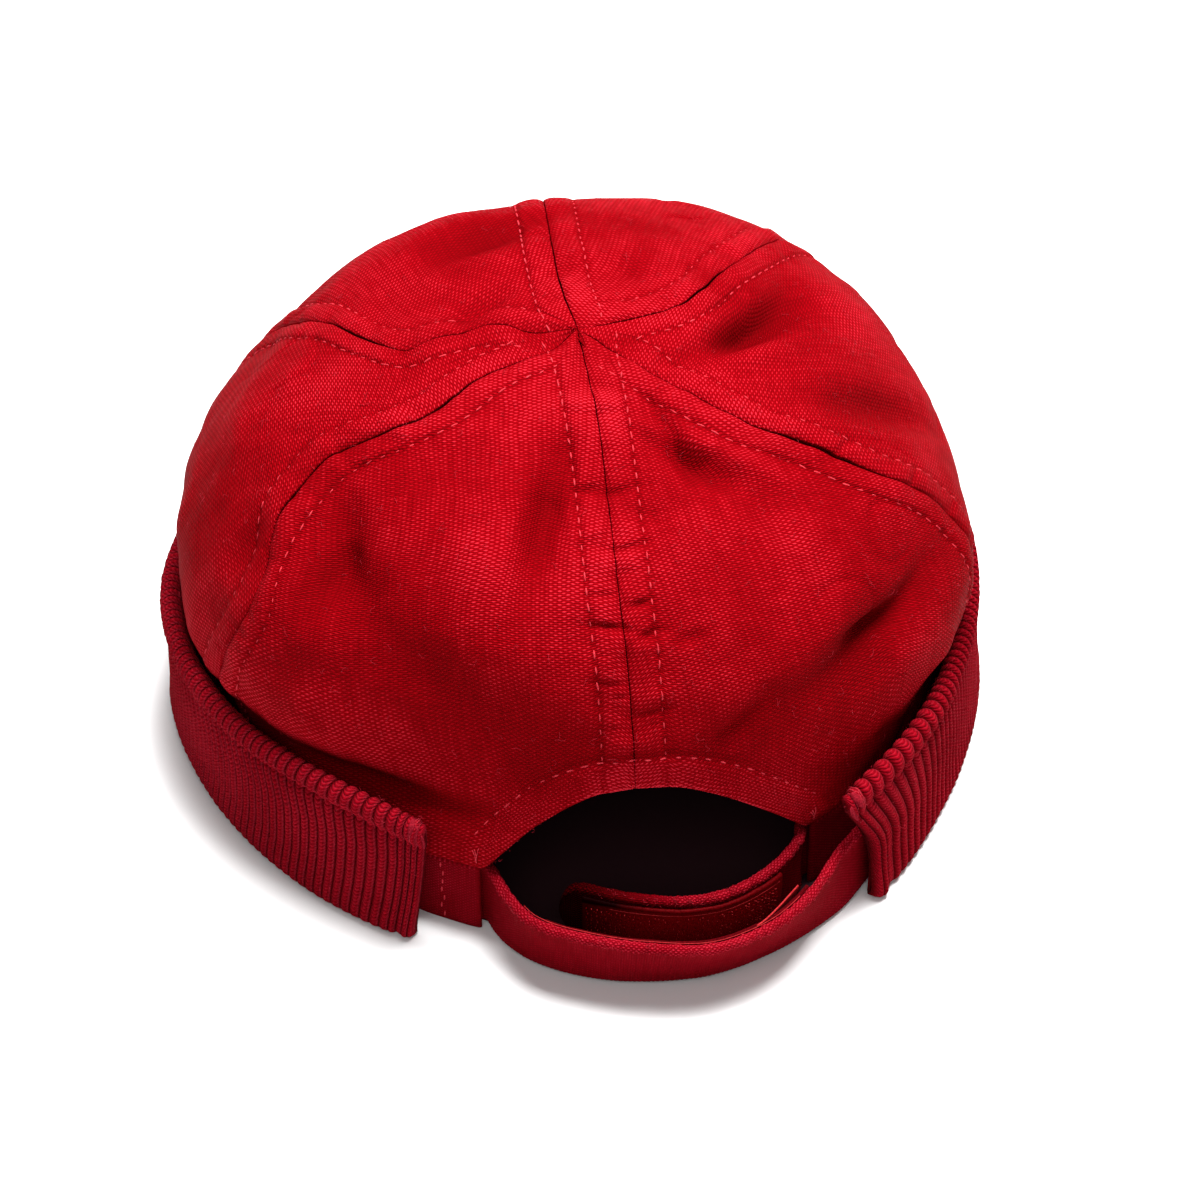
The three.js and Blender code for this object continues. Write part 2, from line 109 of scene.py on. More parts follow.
def table_value(knots, values, x):
    """A cubic through the knots; the slope at a knot is that between its neighbours."""
    knots, values = np.asarray(knots, float), np.asarray(values, float)
    before = np.maximum(np.arange(len(knots)) - 1, 0)
    after = np.minimum(np.arange(len(knots)) + 1, len(knots) - 1)
    slope = (values[after] - values[before]) / (knots[after] - knots[before])
    i = np.clip(np.searchsorted(knots, x, side="left") - 1, 0, len(knots) - 2)
    run = knots[i + 1] - knots[i]
    t = np.clip((x - knots[i]) / run, 0, 1)
    start = (1 + 2 * t) * (1 - t) ** 2 * values[i] + t * (1 - t) ** 2 * run * slope[i]
    end = t * t * (3 - 2 * t) * values[i + 1] + t * t * (t - 1) * run * slope[i + 1]
    return start + end


def wrapped(turn):
    """The same angle between -180 and 180 degrees."""
    return (turn + 180) % 360 - 180


def unit(vectors):
    """Each vector divided by its own length."""
    return vectors / np.maximum(np.linalg.norm(vectors, axis=-1, keepdims=True), 1e-9)


def run_along(points, axis=0):
    """Length along each line of points, from 0 at its first."""
    first = np.take(points, [0], axis=axis)
    steps = np.linalg.norm(np.diff(points, axis=axis, prepend=first), axis=-1)
    return steps.cumsum(axis=axis)


def points_at(at, run, points):
    """The points at some lengths along a line, between its own points."""
    return np.stack([np.interp(at, run, values) for values in points.T], axis=1)


# %% Noise
NOISE_SIZE = 32
noise_lattice = np.random.default_rng(7).uniform(-1, 1, (NOISE_SIZE,) * 3)


def noise(x, y, z=0.0):
    """Random values on a lattice of unit cubes, mixed between corners by the soft step."""
    p = together(x, y, z).astype(float)
    cell = np.floor(p).astype(int)
    part = smooth(p - cell)
    total = np.zeros(p.shape[:-1])
    for corner in np.ndindex(2, 2, 2):
        near = np.where(corner, part, 1 - part).prod(axis=-1)
        i = (cell + corner) % NOISE_SIZE
        total += near * noise_lattice[i[..., 0], i[..., 1], i[..., 2]]
    return total


print("noise runs from", noise(np.arange(999) * 0.37, 0.5).min().round(2), "upwards")


# %% Meshes from arrays
def mesh_piece(name, points, faces, uv=None, **attributes):
    """An object at the origin, from points in head-frame millimetres and quads or triangles."""
    points = (points.reshape(-1, 3) + SHIFT) * MM
    faces = np.asarray(faces, np.int32)
    used, flat = np.unique(faces, return_inverse=True)
    faces = flat.reshape(faces.shape)
    mesh = bpy.data.meshes.new(name)
    mesh.vertices.add(len(used))
    mesh.vertices.foreach_set("co", points[used].astype(np.float32).ravel())
    corners = faces.shape[1]
    mesh.loops.add(faces.size)
    mesh.loops.foreach_set("vertex_index", faces.ravel().astype(np.int32))
    mesh.polygons.add(len(faces))
    mesh.polygons.foreach_set("loop_start", np.arange(0, faces.size, corners, dtype=np.int32))
    mesh.polygons.foreach_set("use_smooth", np.ones(len(faces), bool))
    mesh.update(calc_edges=True)
    if uv is not None:
        layer = mesh.uv_layers.new(name="cloth")
        corner_uv = uv.reshape(-1, 2)[used][faces.ravel()]
        layer.data.foreach_set("uv", corner_uv.astype(np.float32).ravel())
    for key, values in attributes.items():
        layer = mesh.attributes.new(key, "FLOAT", "POINT")
        layer.data.foreach_set("value", values.reshape(-1)[used].astype(np.float32))
    piece = bpy.data.objects.new(name, mesh)
    bpy.context.scene.collection.objects.link(piece)
    return piece


def dressed(piece, material, slot, *nodes):
    """The piece rides on the cap, takes its material, and stands for the named CAD nodes."""
    piece.data.materials.append(material)
    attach(piece, "root")
    if nodes:
        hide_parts(*nodes)
    low = np.array(piece.bound_box).min(0) / MM
    high = np.array(piece.bound_box).max(0) / MM
    print(f"{piece.name}: {len(piece.data.polygons)} faces, {(high - low).round(1)} mm")
    return piece


# %% Grids
def grid_faces(rows, columns, first=0):
    """Quads of a grid whose points are numbered row by row, from first."""
    a = first + (np.arange(rows - 1)[:, None] * columns + np.arange(columns - 1)).ravel()
    return np.stack([a, a + 1, a + columns + 1, a + columns], axis=1)


def cloth_solid(face, wall, roll):
    """A cloth wall under a grid of face points, with its four edges rolled over.

    The middle surface lies half a wall under the face. Both sides stand off it by half a
    wall times the cosine of an angle that goes to 90 degrees past each edge, while the
    edge moves out by roll times its sine, so the two sides meet in a rounded fold.
    """
    along_rows = unit(np.gradient(face, axis=0))
    along_columns = unit(np.gradient(face, axis=1))
    normal = unit(np.cross(along_columns, along_rows))
    if (normal * (face - [0, 0, WIDEST_HEIGHT / 2])).sum() < 0:
        normal = -normal
    steps = np.radians([90, 60, 30])
    rows, columns = face.shape[:2]
    row_angle = np.concatenate([-steps, np.zeros(rows), steps[::-1]])
    column_angle = np.concatenate([-steps, np.zeros(columns), steps[::-1]])
    ri = np.clip(np.arange(rows + 6) - 3, 0, rows - 1)[:, None]
    ci = np.clip(np.arange(columns + 6) - 3, 0, columns - 1)[None, :]
    half = np.asarray(wall) / 2 * np.ones((rows, columns))
    middle = (face - normal * half[..., None])[ri, ci]
    outward = along_rows[ri, ci] * (roll * np.sin(row_angle))[:, None, None]
    outward = outward + along_columns[ri, ci] * (roll * np.sin(column_angle))[None, :, None]
    stand = (np.cos(row_angle)[:, None] * np.cos(column_angle)[None, :])[..., None]
    stand = normal[ri, ci] * stand * half[ri, ci][..., None]
    upper, lower = middle + outward + stand, middle + outward - stand
    size = (rows + 6) * (columns + 6)
    number = np.arange(size).reshape(rows + 6, columns + 6)
    under = number + size
    border = np.zeros_like(number, bool)
    border[[0, -1], :] = True
    border[:, [0, -1]] = True
    under[border] = number[border]
    top = grid_faces(rows + 6, columns + 6)
    bottom = under.ravel()[top][:, ::-1]
    faces = np.concatenate([top, bottom])
    quad = face[0, 0], face[0, 1], face[1, 0]
    if (np.cross(quad[1] - quad[0], quad[2] - quad[0]) * normal[0, 0]).sum() < 0:
        faces = faces[:, ::-1]
    return np.concatenate([upper.reshape(-1, 3), lower.reshape(-1, 3)]), faces, (ri, ci)


def both_sides(values, ri, ci):
    """A grid's values again for a cloth solid's outer and inner points."""
    spread = values[ri, ci]
    return np.concatenate([spread.reshape(-1, *values.shape[2:])] * 2)


def ring_solid(rings, pivot):
    """Faces of a solid lofted through closed rings; its ends close like a zip from pivot."""
    count, size = rings.shape[:2]
    a = np.arange(count - 1)[:, None] * size + np.arange(size)
    b = np.arange(count - 1)[:, None] * size + (np.arange(size) + 1) % size
    sides = np.stack([a, b, b + size, a + size], axis=-1).reshape(-1, 4)
    j = np.arange(1, (size - 1) // 2)
    near, far = (pivot + j) % size, (pivot - j) % size
    near_next, far_next = (pivot + j + 1) % size, (pivot - j - 1) % size
    cap = np.stack([near, near_next, far_next, far], axis=1)
    return np.concatenate([sides, cap[:, ::-1], cap + (count - 1) * size])


def lofted(name, rings, pivot, uv=None, **attributes):
    """A piece lofted through closed rings."""
    return mesh_piece(name, rings, ring_solid(rings, pivot), uv, **attributes)


# %% [markdown]
# ## The crown's form
# The crown is one surface in two parameters, turn and level. From the apex to the widest
# level it is a superellipse that falls over an oval plan, and below that the wall draws
# in to the base band. Slack and dents are added outward, as in the CAD source. The dents
# here are deeper by WORN_SHARE and there are more of them, since this is a worn cap.

# %% Tables of the crown
FORM = {
    "shoulder": {"back": 2.0, "side": 2.2, "front": 2.3},
    "crest": {"back": 2.7, "side": 2.7, "front": 2.8},
    "bulge": {"back": -0.39, "side": 1.0, "front": 0.86},
}
SLACK_SPAN = 0.28
SLACK = {
    0.39: [-0.48, 0, 0, 0, 0, 0, 0.1, 0.5, 0, 0, 0, 0, -0.48],
    0.67: [-0.72, 0, 0, -0.9, 0.25, 0.75, -0.38, -0.22, -0.52, 0.28, 0, -0.2, -0.72],
    0.94: [-0.85, 0.3, 0.88, -0.42, -0.55, 0, 0, 0, 0.5, 0.98, 0.75, -1.5, -0.85],
}
DRAW = [1, 0.9, 2.6, 3, 2.6, 2.2, 2, 2, 2, 1, 0.8, 1, 1]
SEAM_LEVELS = [0, 0.25, 0.5, 0.75, 1.2]
SEAMS = {
    "back": [1, 0, -0.5, 0, 0],
    "back_right": [42, 47, 57, 66, 69],
    "front_right": [100, 121, 131, 134, 135],
    "front": [181, 180, 179, 178, 178],
    "front_left": [262, 256, 243, 234, 232],
    "back_left": [306, 298, 289, 295, 294],
}
WORN_SHARE = 1.7
# Levels, and how far the worn seam has wandered there in millimetres
SEAM_WAVES = {
    "back": ([0, 0.24, 0.79, 1.2], [0, 0.3, -0.7, 0]),
    "back_right": ([0, 0.2, 0.33, 0.42, 0.6, 0.84, 1.2], [0, -1, -1.2, 0.4, -0.8, 1, 0]),
    "front_right": ([0, 0.09, 0.15, 0.22, 0.3, 1.2], [0, -1.4, -2.6, -1.9, 0, 0]),
    "front": ([0, 0.07, 0.4, 1.2], [0, 1.2, 0.5, 0]),
    "front_left": (
        [0, 0.06, 0.12, 0.2, 0.27, 0.35, 0.45, 1.2],
        [0, -0.7, -3, 1.5, 5, 1.8, -1.5, 0],
    ),
    "back_left": (
        [0, 0.06, 0.15, 0.28, 0.45, 0.56, 0.7, 0.82, 0.92, 1.08, 1.25],
        [0, 0.6, -2, 0.5, -1, 0.4, -0.5, 3, 1, -5, -6],
    ),
}
# Columns: turn, level, long, wide, heading, depth as a share; below 0 it stands out
DENTS = [
    (203, 0.32, 0.14, 0.09, 0, 1.0),
    (327, 0.76, 0.36, 0.12, 34, 0.45),
    (232, 0.16, 0.08, 0.035, 20, 0.7),
    (149, 0.17, 0.05, 0.05, 0, 0.35),
    (305, 0.6, 0.24, 0.1, 60, 0.9),
    (307, 0.69, 0.14, 0.05, 95, 0.6),
    (290, 0.74, 0.13, 0.045, 88, 0.5),
    (338, 0.5, 0.3, 0.14, 80, -0.5),
    (343.5, 0.43, 0.22, 0.045, 92, 1.0),
    (26, 0.27, 0.13, 0.022, 93, 0.5),
    (26, 0.33, 0.16, 0.05, 70, 0.65),
    (10, 0.41, 0.05, 0.035, -30, 0.35),
    (34, 0.33, 0.26, 0.035, 62, -0.35),
    (97, 0.3, 0.2, 0.05, 56, 1.5),
    (80, 0.27, 0.12, 0.05, 60, -0.35),
    (80, 0.58, 0.32, 0.07, 68, 0.8),
    (40, 0.82, 0.12, 0.035, 10, 0.45),
    (295, 0.75, 0.12, 0.045, 90, 0.4),
    (42, 0.85, 0.34, 0.12, -10, 0.7),
    (40, 0.84, 0.2, 0.045, -8, 0.5),
    (15, 0.9, 0.12, 0.03, -45, 0.35),
    (311, 0.97, 0.22, 0.1, 0, -0.5),
    (288, 1.02, 0.2, 0.12, 0, -0.5),
    (323, 1.08, 0.26, 0.05, 0, 0.6),
]

# Painted shade, darker where folds and hollows lie in shade: turn, level, long, wide, heading,
# share
PAINTED_SHADE_BELLS = [
    (326, 0.86, 0.5, 0.2, 15, 0.2),
    (36, 0.84, 0.32, 0.2, -20, 0.16),
    (280, 0.72, 0.16, 0.1, 0, 0.2),
    (305, 0.7, 0.12, 0.05, 90, 0.15),
    (203, 0.36, 0.14, 0.12, 0, 0.25),
    (323, 1.08, 0.26, 0.045, 0, 0.45),
    (277, 0.8, 0.12, 0.2, 0, 0.12),
    (168, 0.36, 0.3, 0.14, 0, 0.2),
    (55, 0.62, 0.3, 0.16, 10, 0.1),
    (100, 0.31, 0.17, 0.05, 56, 0.3),
    (80, 0.56, 0.3, 0.07, 68, 0.2),
    (240, 0.13, 0.06, 0.04, 0, 0.2),
    (147, 0.2, 0.1, 0.03, 80, 0.2),
    (155, 0.33, 0.12, 0.06, 0, 0.15),
    (122, 0.25, 0.07, 0.04, 0, 0.15),
    (343.5, 0.43, 0.22, 0.04, 92, 0.2),
]


# %% Crown functions
def around(turn, radius, z):
    """The point at an angle, a distance from the axis and a height."""
    a = np.radians(turn)
    return together(radius * np.sin(a), -radius * np.cos(a), z)


def plan_radius(turn):
    """The oval head opening: half an ellipse to the front and half to the back."""
    a = np.radians(turn)
    length = np.where(-np.cos(a) > 0, FRONT_LENGTH, BACK_LENGTH)
    return 1 / np.hypot(np.sin(a) / HALF_WIDTH, np.cos(a) / length)


def form(turn, name):
    """A value mixed from side and back or front by the squares of sine and cosine."""
    side = np.sin(np.radians(turn)) ** 2
    end = np.where(np.cos(np.radians(turn)) > 0, FORM[name]["back"], FORM[name]["front"])
    return side * FORM[name]["side"] + (1 - side) * end


def round_head(values, turn):
    """A value given every 30 degrees, with soft steps between."""
    place = (turn % 360) / 30
    i = np.minimum(place.astype(int), 11)
    values = np.asarray(values, float)
    return mix(values[i], values[i + 1], smooth(place - i))


def slack(turn, level):
    """The worn cloth's slack: a soft bump round each of three levels."""
    return CROWN_SAG * sum(
        smooth(1 - np.abs(level - centre) / SLACK_SPAN) * round_head(values, turn)
        for centre, values in SLACK.items()
    )


def crown_reach(turn, level):
    """The share of the full width reached at a level: sine to a power."""
    return np.sin(np.pi / 2 * np.minimum(level, 1)) ** (2 / form(turn, "shoulder"))


def crown_radius(turn, level):
    """Distance from the crown's own axis: over the plan above the widest level, drawn in below."""
    bulge = CROWN_BULGE * form(turn, "bulge")
    sag = slack(turn, np.minimum(level, 1)) * np.sin(np.pi / 2 * np.minimum(level, 1))
    dome = (plan_radius(turn) + bulge) * crown_reach(turn, level) + sag
    low = WIDEST_HEIGHT - (level - 1) * WALL_RUN
    share = np.clip((low - BAND_HEIGHT) / (WIDEST_HEIGHT - BAND_HEIGHT), 0, 1)
    held = share ** round_head(DRAW, turn)
    return np.where(level <= 1, dome, plan_radius(turn) + held * (bulge + slack(turn, 1.0)))


def crown_form(turn, level):
    """Superellipse over the oval plan above the widest level, a drawn-in wall below it."""
    psi = np.pi / 2 * np.minimum(level, 1)
    rise = np.maximum(np.cos(psi), 0) ** (2 / form(turn, "crest"))
    sag = slack(turn, np.minimum(level, 1))
    dome = WIDEST_HEIGHT + (CROWN_HEIGHT - WIDEST_HEIGHT) * rise + sag * np.cos(psi)
    z = np.where(level <= 1, dome, WIDEST_HEIGHT - (level - 1) * WALL_RUN)
    point = around(turn, crown_radius(turn, level), z)
    point[..., 1] += APEX_SHIFT * (1 - crown_reach(turn, level))
    return point


def dents(turn, level, rows):
    """Sum of oval bell shapes, each turned by its heading."""
    girth = HALF_WIDTH * np.sin(np.pi / 2 * np.minimum(level, 1))
    total = np.zeros(np.broadcast(turn, level).shape)
    for dent_turn, dent_level, long, wide, heading, depth in rows:
        across = np.radians(wrapped(turn - dent_turn)) * girth / HALF_WIDTH
        down = (level - dent_level) * np.pi / 2
        h = np.radians(heading)
        along = across * np.cos(h) + down * np.sin(h)
        aside = down * np.cos(h) - across * np.sin(h)
        total += depth * np.exp(-((along / long) ** 2) - (aside / wide) ** 2)
    return total * DENT_DEPTH * WORN_SHARE


def turn_across(distance, radius):
    """The turn in degrees that a distance across makes at a radius."""
    return np.degrees(np.arcsin(distance / radius))


def seam_turn(name, level):
    """Where a seam lies round the head at a level: its line in the source, and its worn wave."""
    line = table_value(SEAM_LEVELS, SEAMS[name], level)
    wave = table_value(*SEAM_WAVES[name], level)
    return line + np.degrees(wave / np.maximum(crown_radius(line, level), 6))


# %% The arched edge
def edge_height(turn):
    """The band's top, or over the opening a parabola that rises to the arch's height."""
    t = wrapped(turn)
    share = np.clip(t / np.where(t > 0, ARCH_RIGHT, ARCH_LEFT), 0, 1)
    return BAND_HEIGHT + GAP + (ARCH_HEIGHT - BAND_HEIGHT) * (1 - share**2)


def level_at_height(turn, z):
    """The level at which the undented crown has a height: the form worked backwards."""
    rise = np.clip((z - WIDEST_HEIGHT) / (CROWN_HEIGHT - WIDEST_HEIGHT), 0, 1)
    upper = np.arccos(rise ** (form(turn, "crest") / 2)) * 2 / np.pi
    return np.where(z <= WIDEST_HEIGHT, 1 + (WIDEST_HEIGHT - z) / WALL_RUN, upper)


ARCH_POINTS = np.linspace(ARCH_LEFT, ARCH_RIGHT, 61)
ARCH_LINE = np.stack([np.radians(ARCH_POINTS) * BACK_LENGTH, edge_height(ARCH_POINTS)], axis=1)


def arch_distance(turn, z):
    """Distance in millimetres to the arch's edge, measured on the wall rolled out flat."""
    x = np.radians(wrapped(turn)) * BACK_LENGTH
    away = np.hypot(x[..., None] - ARCH_LINE[:, 0], z[..., None] - ARCH_LINE[:, 1])
    return away.min(axis=-1)


print("arch:", np.ptp(ARCH_LINE[:, 0]).round(1), "mm wide at its feet")

# %% [markdown]
# ## Small forms on the crown
# Canvas with pressed-open seams is never smooth. Beside each seam the allowance lies
# double under the cloth and the topstitching pulls it down, so the strip puckers across.
# The hem over the arch does the same. Creases, fine wrinkles, gathers at the apex and a
# soft all-over crumple finish it.

# %% Fine relief
TOPSTITCH = 7.0
STITCH_PITCH = 3.6
HEM_WIDTH = 8.0
# The arch's forms end this many degrees from the middle of the back
ARCH_REACH = 30
MERIDIAN_LEVELS = np.linspace(0, 1.3, 261)
meridian = crown_form(np.full(261, 60.0), MERIDIAN_LEVELS)
MERIDIAN_RUN = run_along(meridian)
# Columns: turn, level, long, wide, heading, depth
CREASES = [
    (355, 0.34, 0.045, 0.017, 10, 0.42),
    (3, 0.345, 0.035, 0.016, -12, 0.35),
    (2, 0.46, 0.05, 0.016, -15, 0.3),
    (355, 0.45, 0.04, 0.014, 5, 0.2),
    (356, 0.55, 0.035, 0.015, 0, 0.25),
    (3, 0.575, 0.035, 0.015, -10, 0.4),
    (357, 0.62, 0.05, 0.015, 12, 0.5),
    (4, 0.645, 0.035, 0.02, -15, 0.42),
    (10, 0.67, 0.04, 0.025, -15, 0.3),
    (356, 0.75, 0.04, 0.014, 8, 0.25),
    (3, 0.83, 0.04, 0.015, -5, 0.25),
]


def run_down(level):
    """Millimetres of cloth from the apex down to a level, on a typical line."""
    return np.interp(level, MERIDIAN_LEVELS, MERIDIAN_RUN)


def seam_distances(turn, level, radius):
    """Signed distance across each seam: radius times the sine of the angle away from it."""
    found = []
    for name in SEAMS:
        away = wrapped(turn - seam_turn(name, level))
        across = radius * np.sin(np.radians(away))
        found.append(np.where(np.abs(away) < 90, across, 999.0))
    return np.stack(found)


def seam_relief(signed, nearest, s):
    """The double strip beside a seam: a pillow that puckers across and that stitches hold down.

    signed is the distance to the nearest seam, nearest its number, s the run down along it.
    """
    d = np.abs(signed)
    strip = 1 - smooth((d - TOPSTITCH + 0.2) / 1.4)
    groove = bell(d - TOPSTITCH, 0.75)
    pull = 0.7 + 0.3 * np.cos(2 * np.pi * s / STITCH_PITCH)
    near = bell(d, 10.5) * smooth(s / 12)
    pucker = noise(s / 5.5, signed / 11, nearest * 3.7)
    pucker = pucker + 0.5 * noise(s / 3, signed / 7, nearest * 5.1)
    pillow = np.sin(np.pi * np.clip(d / TOPSTITCH, 0, 1)) ** 0.7
    height = 0.3 * strip + 0.5 * pillow - 0.5 * groove * pull + 0.6 * near * pucker
    height -= 0.35 * bell(d, 0.9)
    cross = noise(s / 2.6, nearest * 3.1 + np.sign(signed) * 1.7, d / 9)
    return height - 0.55 * smooth((cross - 0.28) / 0.5) * pillow * smooth((s - 5) / 8)


def relief(turn, level, point):
    """Height of the small forms over the smooth crown, in millimetres."""
    x, y, z = point[..., 0], point[..., 1], point[..., 2]
    across = seam_distances(turn, level, crown_radius(turn, level))
    nearest = np.abs(across).argmin(axis=0)
    signed = np.take_along_axis(across, nearest[None], axis=0)[0]
    s = run_down(level)
    height = seam_relief(signed, nearest, s)
    # Soft crumple in three sizes
    height += 1.1 * noise(x / 23, y / 23, z / 23)
    height += 0.6 * noise(x / 11 + 5, y / 11, z / 11)
    height += 0.22 * noise(x / 5 + 2, y / 5 + 9, z / 5)
    # The hem over the arch lies flatter, stands up by its folded cloth and is stitched down
    hem = arch_distance(turn, z)
    beside_arch = np.abs(wrapped(turn)) < ARCH_REACH
    height = mix(height, 0.25 * height, (1 - smooth((hem - 4) / 6)) * beside_arch)
    over = smooth((z - BAND_HEIGHT) / 3)
    height += over * (0.5 * (1 - smooth((hem - HEM_WIDTH + 0.3) / 1.2)))
    height -= over * 0.45 * bell(hem - HEM_WIDTH, 0.7)
    # Fine wrinkles run where a slow noise crosses zero, in some places only
    path = noise(x / 17 + 3, y / 17 + 1, z / 13)
    somewhere = smooth((noise(x / 28 + 8, y / 28, z / 28 + 4) - 0.02) / 0.35)
    height -= 0.45 * somewhere * bell(path, 0.07) * smooth((hem - 6) / 6)
    bearing = np.radians(turn)
    gathers = noise(3.2 * np.sin(bearing), 3.2 * np.cos(bearing), s / 13)
    height += 1.0 * gathers * bell(s - 10, 7)
    return height - 0.6 * dents(turn, level, CREASES)


def crown_surface(turn, level):
    """The crown's outer face: the form, moved outward by the relief and inward by dents."""
    turn, level = np.broadcast_arrays(np.asarray(turn, float), np.asarray(level, float))
    point = crown_form(turn, level)
    outward = unit(point - [0, 0, WIDEST_HEIGHT])
    out = relief(turn, level, point) - dents(turn, level, DENTS)
    return point + outward * out[..., None]


def crown_normal(turn, level):
    """Out of the crown: the cross product of small steps down and along."""
    down = crown_surface(turn, level + 0.004) - crown_surface(turn, level - 0.004)
    along = crown_surface(turn + 0.3, level) - crown_surface(turn - 0.3, level)
    return unit(np.cross(down, along))


def on_crown(turn, level):
    """Points on the crown's face, and the directions out of it there."""
    return crown_surface(turn, level), crown_normal(turn, level)


print("apex lies at", crown_surface(0, 0.001).round(1))

# %% [markdown]
# ## Materials
# All the cloth is dyed one red, but each cloth takes light its own way. The canvas is a
# plain weave of thick yarns: a warp yarn rides over one weft yarn and under the next.
# Its height is the greater of two yarn surfaces, each a sine that bobs up and down.
# In each cloth, op adds a Math node, grey a Noise texture and ramp a straight remapping.
# Patterns follow the UV map "cloth", which counts millimetres of cloth. A mesh attribute of
# painted shade and wear is added to a cloth's tone: lighter where it is worn, with painted
# shade darker in hollows, folds and the cap's shaded inside, and a painted highlight on the
# hem's folded rim.


# %% Node helpers
def join(tree, value, socket):
    """Links a socket, or sets a plain value."""
    if isinstance(value, bpy.types.NodeSocket):
        tree.links.new(value, socket)
    else:
        socket.default_value = value


def maths(tree, operation, a, b=0.0, c=0.0):
    """One Math node."""
    node = tree.nodes.new("ShaderNodeMath")
    node.operation = operation
    for i, value in enumerate((a, b, c)):
        join(tree, value, node.inputs[i])
    return node.outputs[0]


def noise_node(tree, vector, scale, detail=2.0, roughness=0.5):
    """A Noise texture's grey value."""
    node = tree.nodes.new("ShaderNodeTexNoise")
    node.inputs["Scale"].default_value = scale
    node.inputs["Detail"].default_value = detail
    node.inputs["Roughness"].default_value = roughness
    tree.links.new(vector, node.inputs["Vector"])
    return node.outputs["Fac"]


def remap(tree, value, low, high, to_low=0.0, to_high=1.0):
    """A straight line from one range to another, held at its ends."""
    node = tree.nodes.new("ShaderNodeMapRange")
    for i, number in enumerate((value, low, high, to_low, to_high)):
        join(tree, number, node.inputs[i])
    return node.outputs[0]


def colours(tree, share, a, b):
    """Two colours mixed by a share."""
    node = tree.nodes.new("ShaderNodeMix")
    node.data_type = "RGBA"
    join(tree, share, node.inputs[0])
    join(tree, a, node.inputs[6])
    join(tree, b, node.inputs[7])
    return node.outputs[2]


def stretched(tree, vector, scale):
    """A vector scaled by a Mapping node."""
    node = tree.nodes.new("ShaderNodeMapping")
    node.inputs["Scale"].default_value = scale
    tree.links.new(vector, node.inputs["Vector"])
    return node.outputs[0]


def attribute(tree, name):
    """The value of a mesh attribute."""
    node = tree.nodes.new("ShaderNodeAttribute")
    node.attribute_name = name
    return node.outputs["Fac"]


def split(tree, vector):
    """A vector's three parts."""
    node = tree.nodes.new("ShaderNodeSeparateXYZ")
    tree.links.new(vector, node.inputs[0])
    return node.outputs


def bump(tree, height, distance, strength, under=None):
    """A Bump node, on top of another where one is given."""
    node = tree.nodes.new("ShaderNodeBump")
    node.inputs["Strength"].default_value = strength
    node.inputs["Distance"].default_value = distance
    tree.links.new(height, node.inputs["Height"])
    if under is not None:
        tree.links.new(under, node.inputs["Normal"])
    return node.outputs[0]


# Worn cotton hardly shines, so the shader's mirror-like part is nearly off
SPECULAR, SHEEN_ROUGHNESS, SHEEN_TINT = 0.008, 0.45, (1.0, 0.12, 0.16, 1)


def cloth_material(name, roughness, sheen):
    """A material with its shader, its UV map and its Object coordinates in millimetres."""
    material = bpy.data.materials.new(name)
    material.use_nodes = True
    tree = material.node_tree
    shader = tree.nodes["Principled BSDF"]
    shader.inputs["Roughness"].default_value = roughness
    shader.inputs["Specular IOR Level"].default_value = SPECULAR
    shader.inputs["Sheen Weight"].default_value = sheen
    shader.inputs["Sheen Roughness"].default_value = SHEEN_ROUGHNESS
    shader.inputs["Sheen Tint"].default_value = SHEEN_TINT
    uv = tree.nodes.new("ShaderNodeUVMap")
    uv.uv_map = "cloth"
    place = tree.nodes.new("ShaderNodeTexCoord")
    where = stretched(tree, place.outputs["Object"], (1 / MM, 1 / MM, 1 / MM))
    return material, tree, shader, uv.outputs[0], where


# %% Plain weave
def weave(tree, uv, where, yarn, row, wobble):
    """Height of a plain weave, 0 in the gaps to about 1 on the yarns, and the weft's floats.

    Warp = |sin u| + 0.7 sign(sin u) sin v. Weft = |sin v| - 0.7 sign(sin v) sin u.
    The weft is thicker, so its floats stand higher and catch the light as small ovals.
    """
    op = partial(maths, tree)
    grey = partial(noise_node, tree)
    ramp = partial(remap, tree)
    drift = grey(where, 0.35, 3.0)
    drift = op("MULTIPLY_ADD", drift, wobble, -wobble / 2)
    across, down, _ = split(tree, uv)
    u = op("ADD", op("MULTIPLY", across, math.pi / yarn), drift)
    v = op("ADD", op("MULTIPLY", down, math.pi / row), drift)
    sin_u, sin_v = op("SINE", u), op("SINE", v)
    bob_u = op("MULTIPLY", op("SIGN", sin_u), sin_v)
    bob_v = op("MULTIPLY", op("SIGN", sin_v), sin_u)
    warp = op("MULTIPLY_ADD", bob_u, 0.7, op("ABSOLUTE", sin_u))
    weft = op("MULTIPLY_ADD", bob_v, -0.7, op("ABSOLUTE", sin_v))
    height = op("MAXIMUM", op("MULTIPLY", warp, 0.75), weft)
    return ramp(height, 0.1, 1.7), ramp(weft, 0.3, 1.6)


# Painted shade: the near-black that all the cloth goes to in its deepest, most shaded hollows
PAINTED_SHADE_BLACK = (0.006, 0.0, 0.0002, 1)


